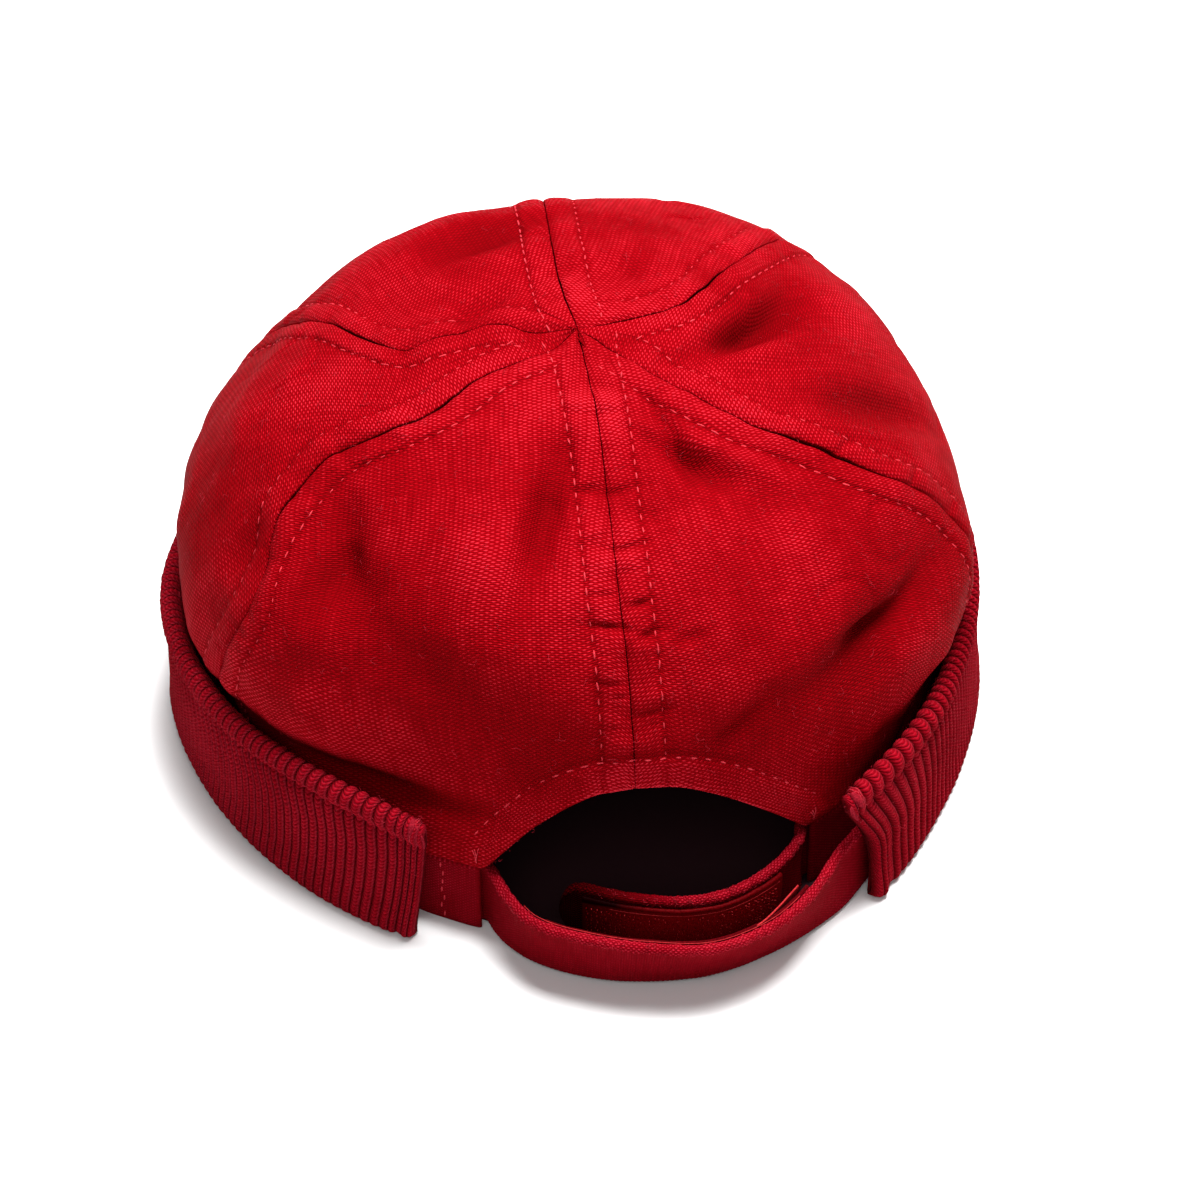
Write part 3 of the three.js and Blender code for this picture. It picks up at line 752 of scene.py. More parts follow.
def canvas(name, deep, plain, light, yarn, row, relief_mm, sheen):
    """A dyed plain-weave canvas: slubs, wear, fuzz, painted glints and painted shade in hollows.
    """
    material, tree, shader, uv, where = cloth_material(name, 0.72, sheen)
    op = partial(maths, tree)
    grey = partial(noise_node, tree)
    ramp = partial(remap, tree)
    height, float_share = weave(tree, uv, where, yarn, row, 1.1)
    slub_u = grey(stretched(tree, uv, (1 / yarn, 0.12, 1)), 0.9, 2.0)
    slub_v = grey(stretched(tree, uv, (0.12, 1 / row, 1)), 0.9, 2.0)
    slub = op("ADD", slub_u, slub_v)
    blotch = grey(where, 0.05, 3.0)
    fuzz = grey(where, 3.0, 3.0, 0.7)
    tone = op("MULTIPLY_ADD", slub, 0.5, op("MULTIPLY_ADD", blotch, 0.6, -0.62))
    # Painted highlight: the tops of the weft floats are lighter.
    tone = op("ADD", tone, op("MULTIPLY_ADD", float_share, 0.75, 0.13))
    tone = op("ADD", tone, attribute(tree, "wear"))
    body = colours(tree, ramp(tone, 0.0, 1.0), deep, plain)
    # Painted shade: a tone far below zero takes the cloth toward near-black.
    body = colours(tree, ramp(tone, -1.3, -0.3, 1.0, 0.0), body, PAINTED_SHADE_BLACK)
    # Painted glints: sparse fuzz spots and the highest tones go toward the light colour, not in
    # shade.
    painted_glints = op("MULTIPLY", ramp(fuzz, 0.58, 0.8), 0.3)
    painted_glints = op("ADD", painted_glints, ramp(tone, 0.85, 1.25))
    painted_glints = op("MULTIPLY", painted_glints, ramp(tone, -0.2, 0.2))
    tree.links.new(colours(tree, painted_glints, body, light), shader.inputs["Base Color"])
    yarns = op("MULTIPLY_ADD", slub, 0.35, height)
    normal = bump(tree, yarns, relief_mm * MM, 0.9)
    normal = bump(tree, fuzz, 0.12 * MM, 0.35, normal)
    tree.links.new(normal, shader.inputs["Normal"])
    return material


# Each canvas's third colour is a painted glint colour, for the weft floats' tops and the fuzz.
crown_canvas = canvas(
    "crown_canvas",
    (0.115, 0.0001, 0.001, 1),
    (0.265, 0.0003, 0.003, 1),
    (0.5, 0.016, 0.03, 1),
    yarn=1.06,
    row=0.52,
    relief_mm=0.26,
    sheen=0.003,
)
band_canvas = canvas(
    "band_canvas",
    (0.085, 0.0002, 0.0015, 1),
    (0.19, 0.0005, 0.0045, 1),
    (0.34, 0.011, 0.024, 1),
    yarn=0.56,
    row=0.42,
    relief_mm=0.18,
    sheen=0.008,
)
print("canvas materials:", crown_canvas.name, band_canvas.name)


# %% Rib knit, thread and tapes
# Knit colours: deep, plain, a painted highlight for rib edges, loops and fuzz, and a painted shade
# for the valleys between ribs.
KNIT_DEEP, KNIT_PLAIN = (0.08, 0.0002, 0.0015, 1), (0.24, 0.0008, 0.006, 1)
KNIT_PAINTED_HIGHLIGHT, KNIT_VALLEY_SHADE = (0.38, 0.016, 0.032, 1), (0.07, 0.0002, 0.0012, 1)


def knit():
    """Rib knit. U counts ribs and V millimetres: rows of stitches lean both ways in a V."""
    material, tree, shader, uv, where = cloth_material("rib_knit", 0.85, 0.04)
    op = partial(maths, tree)
    grey = partial(noise_node, tree)
    ramp = partial(remap, tree)
    across, along, _ = split(tree, uv)
    rib = op("FRACT", across)
    side = op("ABSOLUTE", op("SUBTRACT", rib, 0.5))
    row = op("MULTIPLY_ADD", side, -5.0, op("MULTIPLY", along, 6.2))
    drift = grey(where, 0.6, 2.0)
    stitch = op("SINE", op("MULTIPLY_ADD", drift, 5.0, row))
    stitch = op("MULTIPLY_ADD", stitch, 0.5, 0.5)
    crest = op("SUBTRACT", 1.0, op("MULTIPLY", side, 2.0))
    fuzz = grey(where, 3.2, 4.0, 0.7)
    blotch = grey(where, 0.07, 3.0)
    # Painted shade: the tone is lighter on each rib's crest and darker toward its valleys.
    tone = op("MULTIPLY_ADD", stitch, 0.3, op("MULTIPLY", crest, 0.75))
    tone = op("ADD", tone, op("MULTIPLY_ADD", blotch, 0.8, -0.4))
    body = colours(tree, ramp(tone, 0.0, 1.0), KNIT_DEEP, KNIT_PLAIN)
    # Painted shade: the valleys between ribs go toward a dark valley colour.
    valley_shade = ramp(side, 0.34, 0.5, 0.0, 0.9)
    body = colours(tree, valley_shade, body, KNIT_VALLEY_SHADE)
    # Painted highlights: a thin light line along one side of each rib, on the stitch loops and on
    # fuzz.
    edge = ramp(rib, 0.74, 0.84, 0.0, 0.65)
    edge = op("MULTIPLY", edge, ramp(rib, 0.86, 0.95, 1.0, 0.0))
    edge = op("MULTIPLY", edge, ramp(fuzz, 0.4, 0.6, 0.4, 1.0))
    loops = ramp(side, 0.1, 0.35, 1.0, 0.0)
    loops = op("MULTIPLY", ramp(stitch, 0.5, 1.0, 0.0, 0.4), loops)
    painted_glints = op("ADD", edge, ramp(fuzz, 0.55, 0.8, 0.0, 0.4))
    loops = op("MULTIPLY", loops, ramp(blotch, 0.4, 0.6, 0.2, 1.0))
    painted_glints = op("ADD", painted_glints, loops)
    tree.links.new(colours(tree, painted_glints, body, KNIT_PAINTED_HIGHLIGHT), shader.inputs["Base Color"])
    normal = bump(tree, stitch, 0.3 * MM, 0.9)
    normal = bump(tree, fuzz, 0.25 * MM, 0.8, normal)
    tree.links.new(normal, shader.inputs["Normal"])
    return material


def plain_thread(name, dark, light, roughness, sheen):
    """Spun thread or nylon: one fine noise gives its two colours and its small bumps."""
    material, tree, shader, _, where = cloth_material(name, roughness, sheen)
    grey = partial(noise_node, tree)
    ramp = partial(remap, tree)
    grain = grey(where, 2.4, 3.0, 0.6)
    body = colours(tree, ramp(grain, 0.35, 0.65), dark, light)
    # Painted shade: where the attribute falls below zero the thread goes toward near-black.
    body = colours(tree, ramp(attribute(tree, "wear"), -1.0, 0.0, 1.0, 0.0), body, PAINTED_SHADE_BLACK)
    tree.links.new(body, shader.inputs["Base Color"])
    tree.links.new(bump(tree, grain, 0.08 * MM, 0.6), shader.inputs["Normal"])
    return material


# Each thread's dark and light colour, roughness and sheen
THREADS = {
    "sewing_thread": ((0.36, 0.009, 0.018, 1), (0.6, 0.045, 0.06, 1), 0.5, 0.03),
    "lint": ((0.26, 0.006, 0.014, 1), (0.42, 0.03, 0.045, 1), 0.8, 0.03),
    "knot_yarn": ((0.1, 0.002, 0.006, 1), (0.27, 0.01, 0.02, 1), 0.8, 0.03),
    "nylon_line": ((0.26, 0.008, 0.012, 1), (0.44, 0.03, 0.032, 1), 0.3, 0.0),
    "loop_pile": ((0.07, 0.0006, 0.002, 1), (0.2, 0.002, 0.006, 1), 0.75, 0.08),
    "hook_nylon": ((0.12, 0.0008, 0.002, 1), (0.26, 0.003, 0.006, 1), 0.35, 0.0),
}
rib_knit = knit()
sewing_thread, lint, knot_yarn, nylon_line, loop_pile, hook_nylon = (
    plain_thread(name, *looks) for name, looks in THREADS.items()
)
print("materials:", len(bpy.data.materials))

# %% [markdown]
# ## Crown panels
# Each panel runs from its tip at the apex to the lower edge, between two seams. On the
# real cap the edge turns under at the seam, so here the cloth's edge is rolled over and
# two rolled edges meet in the thin dark line. Columns lie closer beside the seams, where
# the small forms are. The UV map lays the panel out flat: a point at distance r from the
# apex, a across from the panel's middle, goes to (r sin(a/r), r cos(a/r)).

# %% The panels' sizes and seams
PANEL_ROWS, PANEL_COLUMNS = 150, 112
SEAM_ROLL = 0.28
TIP_RADIUS = 0.4
PANELS = ["back_right", "side_right", "front_right", "front_left", "side_left", "back_left"]
STRAIGHT_GRAIN = [0.25, 0.5, 0.5, 0.5, 0.5, 0.75]
seam_names = list(SEAMS)
fine = np.linspace(0, 1, 400)
density = 1 + 1.9 * (bell(fine, 0.1) + bell(1 - fine, 0.1))
gathered = np.cumsum(density) - density[0]
SHARES = np.interp(np.linspace(0, gathered[-1], PANEL_COLUMNS), gathered, fine)
# Columns: seam, level, reach in levels, how far the seam gapes in millimetres
GAPES = [
    ("back_right", 0.46, 0.09, 0.55),
    ("back_left", 0.26, 0.1, 0.35),
    ("back_left", 0.6, 0.13, 0.25),
    ("front_right", 0.2, 0.1, 0.25),
    ("front_left", 0.36, 0.06, 0.3),
    ("front_left", 0.15, 0.06, 0.15),
    ("front", 0.12, 0.08, 0.1),
]
SEAM_OVERLAP = 0.1
# Where the arch's middle lies, and the painted shade on the cloth's inner side, in the cap's
# hollow
ARCH_MIDDLE, INSIDE_SHADE = 3, -0.6


def gape(name, level):
    """How far a seam's two edges stand apart, as bell shapes along it."""
    total = np.full(level.shape, -SEAM_OVERLAP)
    for seam, centre, reach, width in GAPES:
        if seam == name:
            total += width * bell(level - centre, reach)
    return total


def panel_grid(left, right):
    """Turn and level of each grid point between two seams."""
    tip = 2 / np.pi * np.arcsin((TIP_RADIUS / HALF_WIDTH) ** (FORM["shoulder"]["side"] / 2))
    span = 360 if SEAMS[right][0] < SEAMS[left][0] else 0
    low = mix(seam_turn(left, 1.0), seam_turn(right, 1.0) + span, SHARES)
    edge = level_at_height(low, edge_height(low))
    level = mix(tip, edge[None, :], (np.linspace(0, 1, PANEL_ROWS) ** 0.92)[:, None])
    radius = np.maximum(crown_radius(low + 0 * level, level), 2 * SEAM_ROLL)
    start = seam_turn(left, level) + turn_across(SEAM_ROLL + gape(left, level), radius)
    end = seam_turn(right, level) + span - turn_across(SEAM_ROLL + gape(right, level), radius)
    return mix(start, end, SHARES[None, :]), level


def flat_layout(face, straight):
    """The panel laid out flat, in millimetres of cloth; its grain runs along one column."""
    down = run_along(face) + TIP_RADIUS
    across = run_along(face, 1)
    across = across - across[:, [int(PANEL_COLUMNS * straight)]]
    angle = across / down
    return together(down * np.sin(angle), down * np.cos(angle))


def panel_wear(turn, level):
    """A panel's tone: lighter where the cloth is worn on small raised forms and on the hem, and
    lighter in a painted highlight along the hem's folded rim.

    Painted shade darkens it in hollows, dents and folds, along the topstitching's groove and
    just above the hem, where the cloth bulges over it.
    """
    point = crown_form(turn, level)
    hem = arch_distance(turn, point[..., 2])
    from_middle = np.abs(point[..., 0] - ARCH_MIDDLE)
    patch = smooth((HEM_WIDTH - hem) / 1.5) * smooth((16 - from_middle) / 5)
    over_arch = smooth((24 - from_middle) / 8)
    small, hollow = relief(turn, level, point), dents(turn, level, DENTS + CREASES)
    # Raised forms and bulges are lighter, partly wear; low forms and dents get painted shade.
    wear = np.clip(small * 0.1, -0.25, 0.2) + 0.2 * patch - np.clip(hollow * 0.07, -0.15, 0.4)
    # Painted shade in wide bells over folds and hollows.
    wear -= dents(turn, level, PAINTED_SHADE_BELLS) / (DENT_DEPTH * WORN_SHARE)
    seam_gap = np.abs(seam_distances(turn, level, crown_radius(turn, level))).min(axis=0)
    # Painted shade along the groove that the topstitching pulls in.
    wear -= 0.22 * bell(seam_gap - TOPSTITCH, 0.8)
    # Painted shadow just above the hem, where the cloth bulges over it.
    wear -= 0.3 * over_arch * bell(hem - HEM_WIDTH - 1.1, 0.9)
    # Painted highlight along the hem's folded rim.
    return wear + 0.55 * (1 - smooth((hem - 0.2) / 0.6))

# %% Build the panels
for index, panel in enumerate(PANELS):
    left, right = seam_names[index], seam_names[(index + 1) % 6]
    turn, level = panel_grid(left, right)
    face = crown_surface(turn, level)
    points, faces, (ri, ci) = cloth_solid(face, CROWN_WALL, SEAM_ROLL)
    uv = flat_layout(face, STRAIGHT_GRAIN[index])
    wear = both_sides(panel_wear(turn, level), ri, ci)
    wear[len(wear) // 2:] = INSIDE_SHADE
    piece = mesh_piece(f"crown_{panel}", points, faces, both_sides(uv, ri, ci), wear=wear)
    dressed(piece, crown_canvas, "crown_canvas", f"panel_{panel}")

# %% Seam allowances
# Inside the crown a seam's pressed-open allowance is a strip of two half widths. It starts
# this far from the apex, is this thick and lies this deep under the crown's face.
# The allowances' last size is painted shade, since they lie inside the cap's shadowed hollow.
FOLD_HALF, FOLD_START, FOLD_CLOTH, FOLD_DEPTH, FOLD_SHADE = 6.2, 9.0, 0.5, 1.75, -0.5
for name in SEAMS:
    levels = np.linspace(0.02, 1.19, 400)
    radius = crown_radius(seam_turn(name, levels), levels)
    height = crown_form(seam_turn(name, levels), levels)[:, 2]
    above = height > edge_height(seam_turn(name, levels)) + (HEM_WIDTH if name == "back" else 1.5)
    levels = levels[(radius > FOLD_START) & above]
    levels = np.linspace(levels[0], levels[-1], 110)[:, None]
    across = np.linspace(-FOLD_HALF, FOLD_HALF, 9)[None, :]
    middle_turn = seam_turn(name, levels)
    turn = middle_turn + turn_across(across, crown_radius(middle_turn, levels))
    level = levels + 0 * across
    places, normals = on_crown(turn, level)
    face = places - FOLD_DEPTH * normals
    points, faces, (ri, ci) = cloth_solid(face, FOLD_CLOTH, FOLD_CLOTH / 2)
    uv = together(across, run_down(level))
    wear = both_sides(np.full(level.shape, FOLD_SHADE), ri, ci)
    piece = mesh_piece(f"seam_allowance_{name}", points, faces, both_sides(uv, ri, ci), wear=wear)
    dressed(piece, crown_canvas, "crown_canvas")

# %% [markdown]
# ## Stitches
# Topstitching shows as short lighter dashes that dive into the cloth at both ends. One
# dash is a six-sided spindle. Its copies are placed as arrays: each has a middle, a
# direction and an outward normal, and its ends sink by the fourth power of the way out.


# %% Stitch maker
def stitches(name, middles, directions, normals, length, radius, sink=0.45):
    """Spindles along the given directions, joined in one piece."""
    count = len(middles)
    t = np.linspace(-1, 1, 7)
    a = np.linspace(0, 2 * np.pi, 6, endpoint=False)
    girth = np.sqrt(np.maximum(1 - np.abs(t) ** 2.6, 0.05))
    twist = 1 + 0.16 * np.cos(2 * a[None, :] - 4 * t[:, None])
    side = radius * girth[:, None] * np.cos(a) * twist
    up = radius * girth[:, None] * np.sin(a) * twist - sink * (t[:, None] ** 4)
    along = np.broadcast_to(t[:, None] / 2, side.shape)
    directions, normals = unit(directions), unit(normals)
    beside = unit(np.cross(normals, directions))
    length = np.broadcast_to(length, count)
    reach = (length[:, None] * directions)[:, None, None]
    points = middles[:, None, None] + along[None, ..., None] * reach
    points = points + side[None, ..., None] * beside[:, None, None]
    points = points + up[None, ..., None] * normals[:, None, None]
    ring = np.arange(6)
    base = (np.arange(6)[:, None] * 6 + ring).ravel()
    step = (np.arange(6)[:, None] * 6 + (ring + 1) % 6).ravel()
    quads = np.stack([base, step, step + 6, base + 6], axis=1)
    ends = np.array([[0, 5, 4, 1], [1, 4, 3, 2], [36, 37, 40, 41], [37, 38, 39, 40]])
    quads = np.concatenate([quads, ends])[:, ::-1]
    faces = (np.arange(count)[:, None, None] * 42 + quads).reshape(-1, 4)
    return mesh_piece(name, points, faces)


def resample(points, pitch):
    """Middles and directions at even steps along a line of points."""
    run = run_along(points)
    at = np.arange(pitch / 2, run[-1], pitch)
    before, middle, after = (points_at(at + step, run, points) for step in (-1, 0, 1))
    return middle, after - before, at / run[-1]


# %% Topstitching beside the seams
gathered_rows = []
wander = np.random.default_rng(3)
STITCH_LENGTH, STITCH_RADIUS = 2.4, 0.2
for name in SEAMS:
    straight_through = name in ("back", "front")
    for side in (-1, 1):
        levels = np.linspace(0.02, 1.2, 900)
        radius = crown_radius(seam_turn(name, levels), levels)
        keep = radius > TOPSTITCH * (1.0005 if straight_through else 1.9)
        levels, radius = levels[keep], radius[keep]
        turn = seam_turn(name, levels) + side * turn_across(TOPSTITCH, radius)
        height = crown_form(turn, levels)[:, 2]
        hem = arch_distance(turn, height)
        inside = height > edge_height(turn) + 2.0
        inside &= (hem > HEM_WIDTH) | (np.abs(wrapped(turn)) > ARCH_REACH)
        turn, levels = turn[inside], levels[inside]
        row = crown_surface(turn, levels)
        middle, direction, share = resample(row, STITCH_PITCH)
        run = run_along(row)
        turn = np.interp(share * run[-1], run, turn)
        levels = np.interp(share * run[-1], run, levels)
        normal = crown_normal(turn, levels)
        tilt = wander.normal(0, 0.07, (len(turn), 1))
        direction = unit(direction) + tilt * np.cross(normal, unit(direction))
        depth = 0.03 if straight_through else -0.06
        gathered_rows.append((middle + normal * depth, direction, normal))
middles, directions, normals = (np.concatenate(values) for values in zip(*gathered_rows))
lengths = STITCH_LENGTH * wander.uniform(0.85, 1.12, len(middles))
piece = stitches("crown_topstitching", middles, directions, normals, lengths, STITCH_RADIUS)
dressed(piece, sewing_thread, "crown_canvas")


# %% Hem stitching over the arch
def hem_line(distance, first, last, count=120):
    """Turn and level of a line beside the arch's edge, on the wall rolled out flat."""
    t = np.linspace(first, last, count)
    x, z = np.radians(t) * BACK_LENGTH, edge_height(t)
    slope = np.gradient(z, x)
    length = np.hypot(slope, 1)
    turn = np.degrees((x - distance * slope / length) / BACK_LENGTH)
    return turn, level_at_height(turn, z + distance / length)


turn, level = hem_line(HEM_WIDTH, ARCH_LEFT + 1, ARCH_RIGHT - 1)
line = crown_surface(turn, level)
middles, directions, share = resample(line, STITCH_PITCH)
at = np.linspace(0, 1, len(turn))
normals = crown_normal(np.interp(share, at, turn), np.interp(share, at, level))
lengths = 2.2 * wander.uniform(0.75, 1.1, len(middles))
piece = stitches("hem_stitching", middles + normals * 0.02, directions, normals, lengths, 0.17)
dressed(piece, sewing_thread, "crown_canvas")

# %% [markdown]
# ## Threads and lint
# A thread is a thin tube along a short line of points. Many tubes go into one piece. Lint
# is the fuzz that worn cotton grows: loose fibres that arch a little off the cloth.


# %% Tube maker
def threads(name, paths, radius):
    """Four-sided tubes: each point gets a ring square to the line's direction there."""
    count, size = paths.shape[:2]
    ahead = unit(np.gradient(paths, axis=1))
    beside = unit(np.cross(ahead, [0.31, 0.17, 0.94]))
    above = np.cross(beside, ahead)
    a = np.linspace(0, 2 * np.pi, 4, endpoint=False)
    radius = np.broadcast_to(radius, (count, size))[..., None, None]
    ring = beside[:, :, None] * np.cos(a)[:, None] + above[:, :, None] * np.sin(a)[:, None]
    points = paths[:, :, None] + radius * ring
    i, k = np.arange(size - 1)[:, None] * 4, np.arange(4)
    turned = (k + 1) % 4
    sides = np.stack([i + k, i + turned, i + 4 + turned, i + 4 + k], axis=-1).reshape(-1, 4)
    end = (size - 1) * 4
    caps = np.array([[3, 2, 1, 0], [end, end + 1, end + 2, end + 3]])
    faces = np.concatenate([sides, caps])
    faces = (np.arange(count)[:, None, None] * size * 4 + faces).reshape(-1, 4)
    return mesh_piece(name, points, faces)


def fibres(name, bases, normals, reach, rise, radius, seed):
    """Loose fibres: base + s L forward + bend sin(pi s) beside + rise sin(pi s) outward."""
    count = len(bases)
    rng = np.random.default_rng(seed)
    forward = unit(np.cross(normals, rng.normal(size=(count, 3))))
    beside = np.cross(normals, forward)
    s = np.linspace(0, 1, 6)[None, :, None]
    length = (reach * rng.uniform(0.5, 1.4, count))[:, None, None]
    bend = (reach * rng.normal(0, 0.3, count))[:, None, None]
    twist = (reach * rng.normal(0, 0.16, count))[:, None, None]
    path = bases[:, None] + forward[:, None] * s * length
    path = path + beside[:, None] * (bend * np.sin(np.pi * s) + twist * np.sin(2 * np.pi * s))
    rise = rise * np.sin(np.pi * s) * rng.uniform(0.3, 1.5, count)[:, None, None]
    path = path + normals[:, None] * rise
    return threads(name, path, radius)


# %% Lint on the crown
CROWN_LINT, ARCH_LINT, CUFF_LINT, STRAP_LINT = 1100, 90, 800, 220
WIDEST_RADIUS = 92
pick = np.random.default_rng(21)
turn = pick.uniform(-180, 180, CROWN_LINT)
level = pick.uniform(0.03, 1.12, CROWN_LINT)
kept = pick.uniform(0, WIDEST_RADIUS, CROWN_LINT) < crown_radius(turn, level)
kept &= crown_form(turn, level)[..., 2] > edge_height(turn) + 0.5
turn, level = turn[kept], level[kept]
bases, normals = on_crown(turn, level)
piece = fibres("crown_lint", bases + normals * 0.1, normals, 1.8, 0.4, 0.03, 5)
dressed(piece, lint, "crown_canvas")

turn = pick.uniform(ARCH_LEFT, ARCH_RIGHT, ARCH_LINT)
level = level_at_height(turn, edge_height(turn) + pick.uniform(0.4, 1.0, ARCH_LINT))
bases, normals = on_crown(turn, level)
bases = bases - normals * pick.uniform(0.0, 0.6, (ARCH_LINT, 1))
piece = fibres("arch_lint", bases, normals, 0.55, 0.15, 0.03, 6)
dressed(piece, lint, "crown_canvas")

# %% Bar tacks at the arch's feet
s = np.linspace(0, 1, 7)
tack_paths = []
for foot_turn in (ARCH_LEFT - 2.0, ARCH_RIGHT + 1.2):
    for lean in (-0.8, -0.2, 0.7):
        turn = foot_turn + lean * (s - 0.3) + 0.15 * np.sin(4 * s + lean)
        height = BAND_HEIGHT + 2.0 + 3.3 * s + 0.5 * lean
        level = level_at_height(turn, height)
        rise = 0.08 + 0.22 * np.sin(np.pi * s)[:, None]
        places, normals = on_crown(turn, level)
        tack_paths.append(places + normals * rise)
piece = threads("bar_tacks", np.array(tack_paths), 0.11)
dressed(piece, sewing_thread, "crown_canvas")

# %% [markdown]
# ## Base band
# The band is a strip of finer cloth on the oval plan. It shows only between the cuff's
# left end and the opening, where its folded end is stitched down.

# %% Build the base band
BAND_START, BAND_END = ARCH_RIGHT + BAND_OVERHANG, 360 + ARCH_LEFT - BAND_OVERHANG
band_turns = np.linspace(BAND_START + 0.5, BAND_END - 0.5, 280)
turn, z = np.meshgrid(band_turns, np.linspace(0.8, BAND_HEIGHT - 0.8, 16))
wave = 0.12 * noise(turn / 2.2, z / 14, 4.0)
face = around(turn, plan_radius(turn) + wave - 0.05, z)
points, faces, (ri, ci) = cloth_solid(face, BAND_WALL, 0.75)
uv = together(np.radians(turn) * HALF_WIDTH, z)
# The band's tone follows its small waves: lighter on their tops, darker in their dips.
wear = both_sides(wave * 0.5, ri, ci)
piece = mesh_piece("base_band_cloth", points, faces, both_sides(uv, ri, ci), wear=wear)
dressed(piece, band_canvas, "band_canvas", "base_band")

height = np.arange(2.2, BAND_HEIGHT - 0.5, 2.6)
stitch_turn = BAND_END - 5.6 + 0.25 * np.sin(height)
outward = around(stitch_turn, 1.0, 0.0)
middles = around(stitch_turn, plan_radius(stitch_turn) + 0.05, height)
upright = np.tile([0.06, 0.0, 1.0], (len(height), 1))
piece = stitches("band_stitching", middles, upright, outward, 1.9, STITCH_RADIUS)
dressed(piece, sewing_thread, "band_canvas")

# %% [markdown]
# ## Rib-knit cuff
# The cuff is a double knit folded up. Its section is a closed curve through a few points:
# up the outer face, over a round roll, and down inside. Ribs are a rounded wave along the
# cuff, added along the section's own normal, with sharp valleys between wide crests.
# The ribs sway a little, bend near the left end, and each end leans past its CAD place.
# The same kind of table gives the straps: how far a lower and an upper edge stand off.

# %% Tables of the cuff and the straps
# Columns: turn, low, high and tall, as shares of the stand-off and the cuff's height
CUFF_PATH = np.array([
    (33, 1.66, 1.36, 0.93),
    (38, 1.48, 1.24, 0.97),
    (44, 1.27, 1.12, 1),
    (50, 1.14, 1, 1),
    (62, 1.05, 0.87, 1),
    (78, 1.06, 0.8, 1),
    (105, 1.02, 0.8, 1),
    (180, 1, 0.88, 1),
    (235, 1, 0.92, 1),
    (256, 1.2, 1.06, 1),
    (270, 1.45, 1.42, 1),
    (285, 1.38, 1.46, 1),
    (300, 1.27, 1.26, 1),
    (312, 1.2, 0.98, 1),
    (321, 1.15, 0.84, 0.98),
    (330, 1.1, 0.86, 0.92),
])
TUCKED = -(BAND_WALL + 2 * GAP) / STRAP_BOW
# Columns: turn, low, high, as shares of STRAP_BOW
OUTER_STRAP = np.array([
    (-28, TUCKED, TUCKED),
    (-23.2, TUCKED, TUCKED),
    (-21.6, TUCKED, TUCKED),
    (-20, 0.03, 0.04),
    (-18, 0.16, 0.24),
    (-14, 0.34, 0.54),
    (-7, 0.51, 0.74),
    (0, 0.61, 0.89),
    (6, 0.65, 0.99),
    (11, 0.64, 0.97),
    (16, 0.6, 0.88),
    (21, 0.55, 0.71),
    (27, 0.49, 0.45),
    (32, 0.38, 0.35),
    (38, 0.26, 0.25),
    (44, 0.2, 0.2),
])
INNER_STRAP = np.array([
    (-11, -0.07, -0.03),
    (-4, 0.09, 0.16),
    (1, 0.2, 0.28),
    (5, 0.26, 0.36),
    (10, 0.3, 0.395),
    (15, 0.27, 0.33),
    (20, 0.17, 0.21),
    (24.5, 0.03, 0.04),
    (26.1, TUCKED, TUCKED),
    (28, TUCKED, TUCKED),
    (34, TUCKED, TUCKED),
])


def column(rows, name, turn):
    """One column of a table, smoothed between its rows."""
    number = {"low": 1, "high": 2, "tall": 3}[name]
    return table_value(rows[:, 0], rows[:, number], turn)


# %% Stations along the cuff
SAMPLES = np.array([0, 0.06, 0.2, 0.38, 0.62, 0.8, 0.94])
CUFF_SWEEP = np.radians(CUFF_LEFT_END - CUFF_RIGHT_END) * (HALF_WIDTH + CUFF_STANDOFF)
RIB_COUNT = round(CUFF_SWEEP / RIB_PITCH)
ribs = np.append((np.arange(RIB_COUNT)[:, None] + SAMPLES).ravel(), RIB_COUNT)
# The last ribs at each end are narrower, since the knit is pulled in where it is tied off
widths = 1 - 0.38 * smooth((ribs - RIB_COUNT + 5) / 2) - 0.25 * smooth((3 - ribs) / 2)
travelled = np.concatenate([[0], np.cumsum(np.diff(ribs) * widths[1:])])
cuff_turn = CUFF_RIGHT_END + travelled / travelled[-1] * (CUFF_LEFT_END - CUFF_RIGHT_END)
from_right = np.radians(cuff_turn - CUFF_RIGHT_END) * (HALF_WIDTH + CUFF_STANDOFF)
from_left = CUFF_SWEEP - from_right
print("cuff:", RIB_COUNT, "ribs,", len(cuff_turn), "stations")


# %% The cuff's section
def closed_curve(knots, steps):
    """A Catmull-Rom curve through each closed row of knots.

    With p0 to p3 four knots in turn and t from 0 to 1 between p1 and p2, twice the curve is
    2 p1 + (p2 - p0) t + (2 p0 - 5 p1 + 4 p2 - p3) t^2 + (3 p1 - p0 - 3 p2 + p3) t^3.
    """
    t = (np.arange(steps) / steps)[None, None, :, None]
    p = [np.roll(knots, k, axis=1)[:, :, None, :] for k in (1, 0, -1, -2)]
    curve = 0.5 * (
        2 * p[1]
        + (p[2] - p[0]) * t
        + (2 * p[0] - 5 * p[1] + 4 * p[2] - p[3]) * t**2
        + (3 * p[1] - p[0] - 3 * p[2] + p[3]) * t**3
    )
    return curve.reshape(len(knots), -1, 2)


# Under its roll the cuff's face creases inward: at these turns, this deep in millimetres
CREASE_TURNS = [33, 42, 52, 68, 90, 255, 280, 296, 310, 320, 330]
CREASE_DEPTHS = [0.2, 0.5, 0.9, 0.7, 0.2, 0.3, 1.4, 2.2, 1.9, 0.8, 0.3]
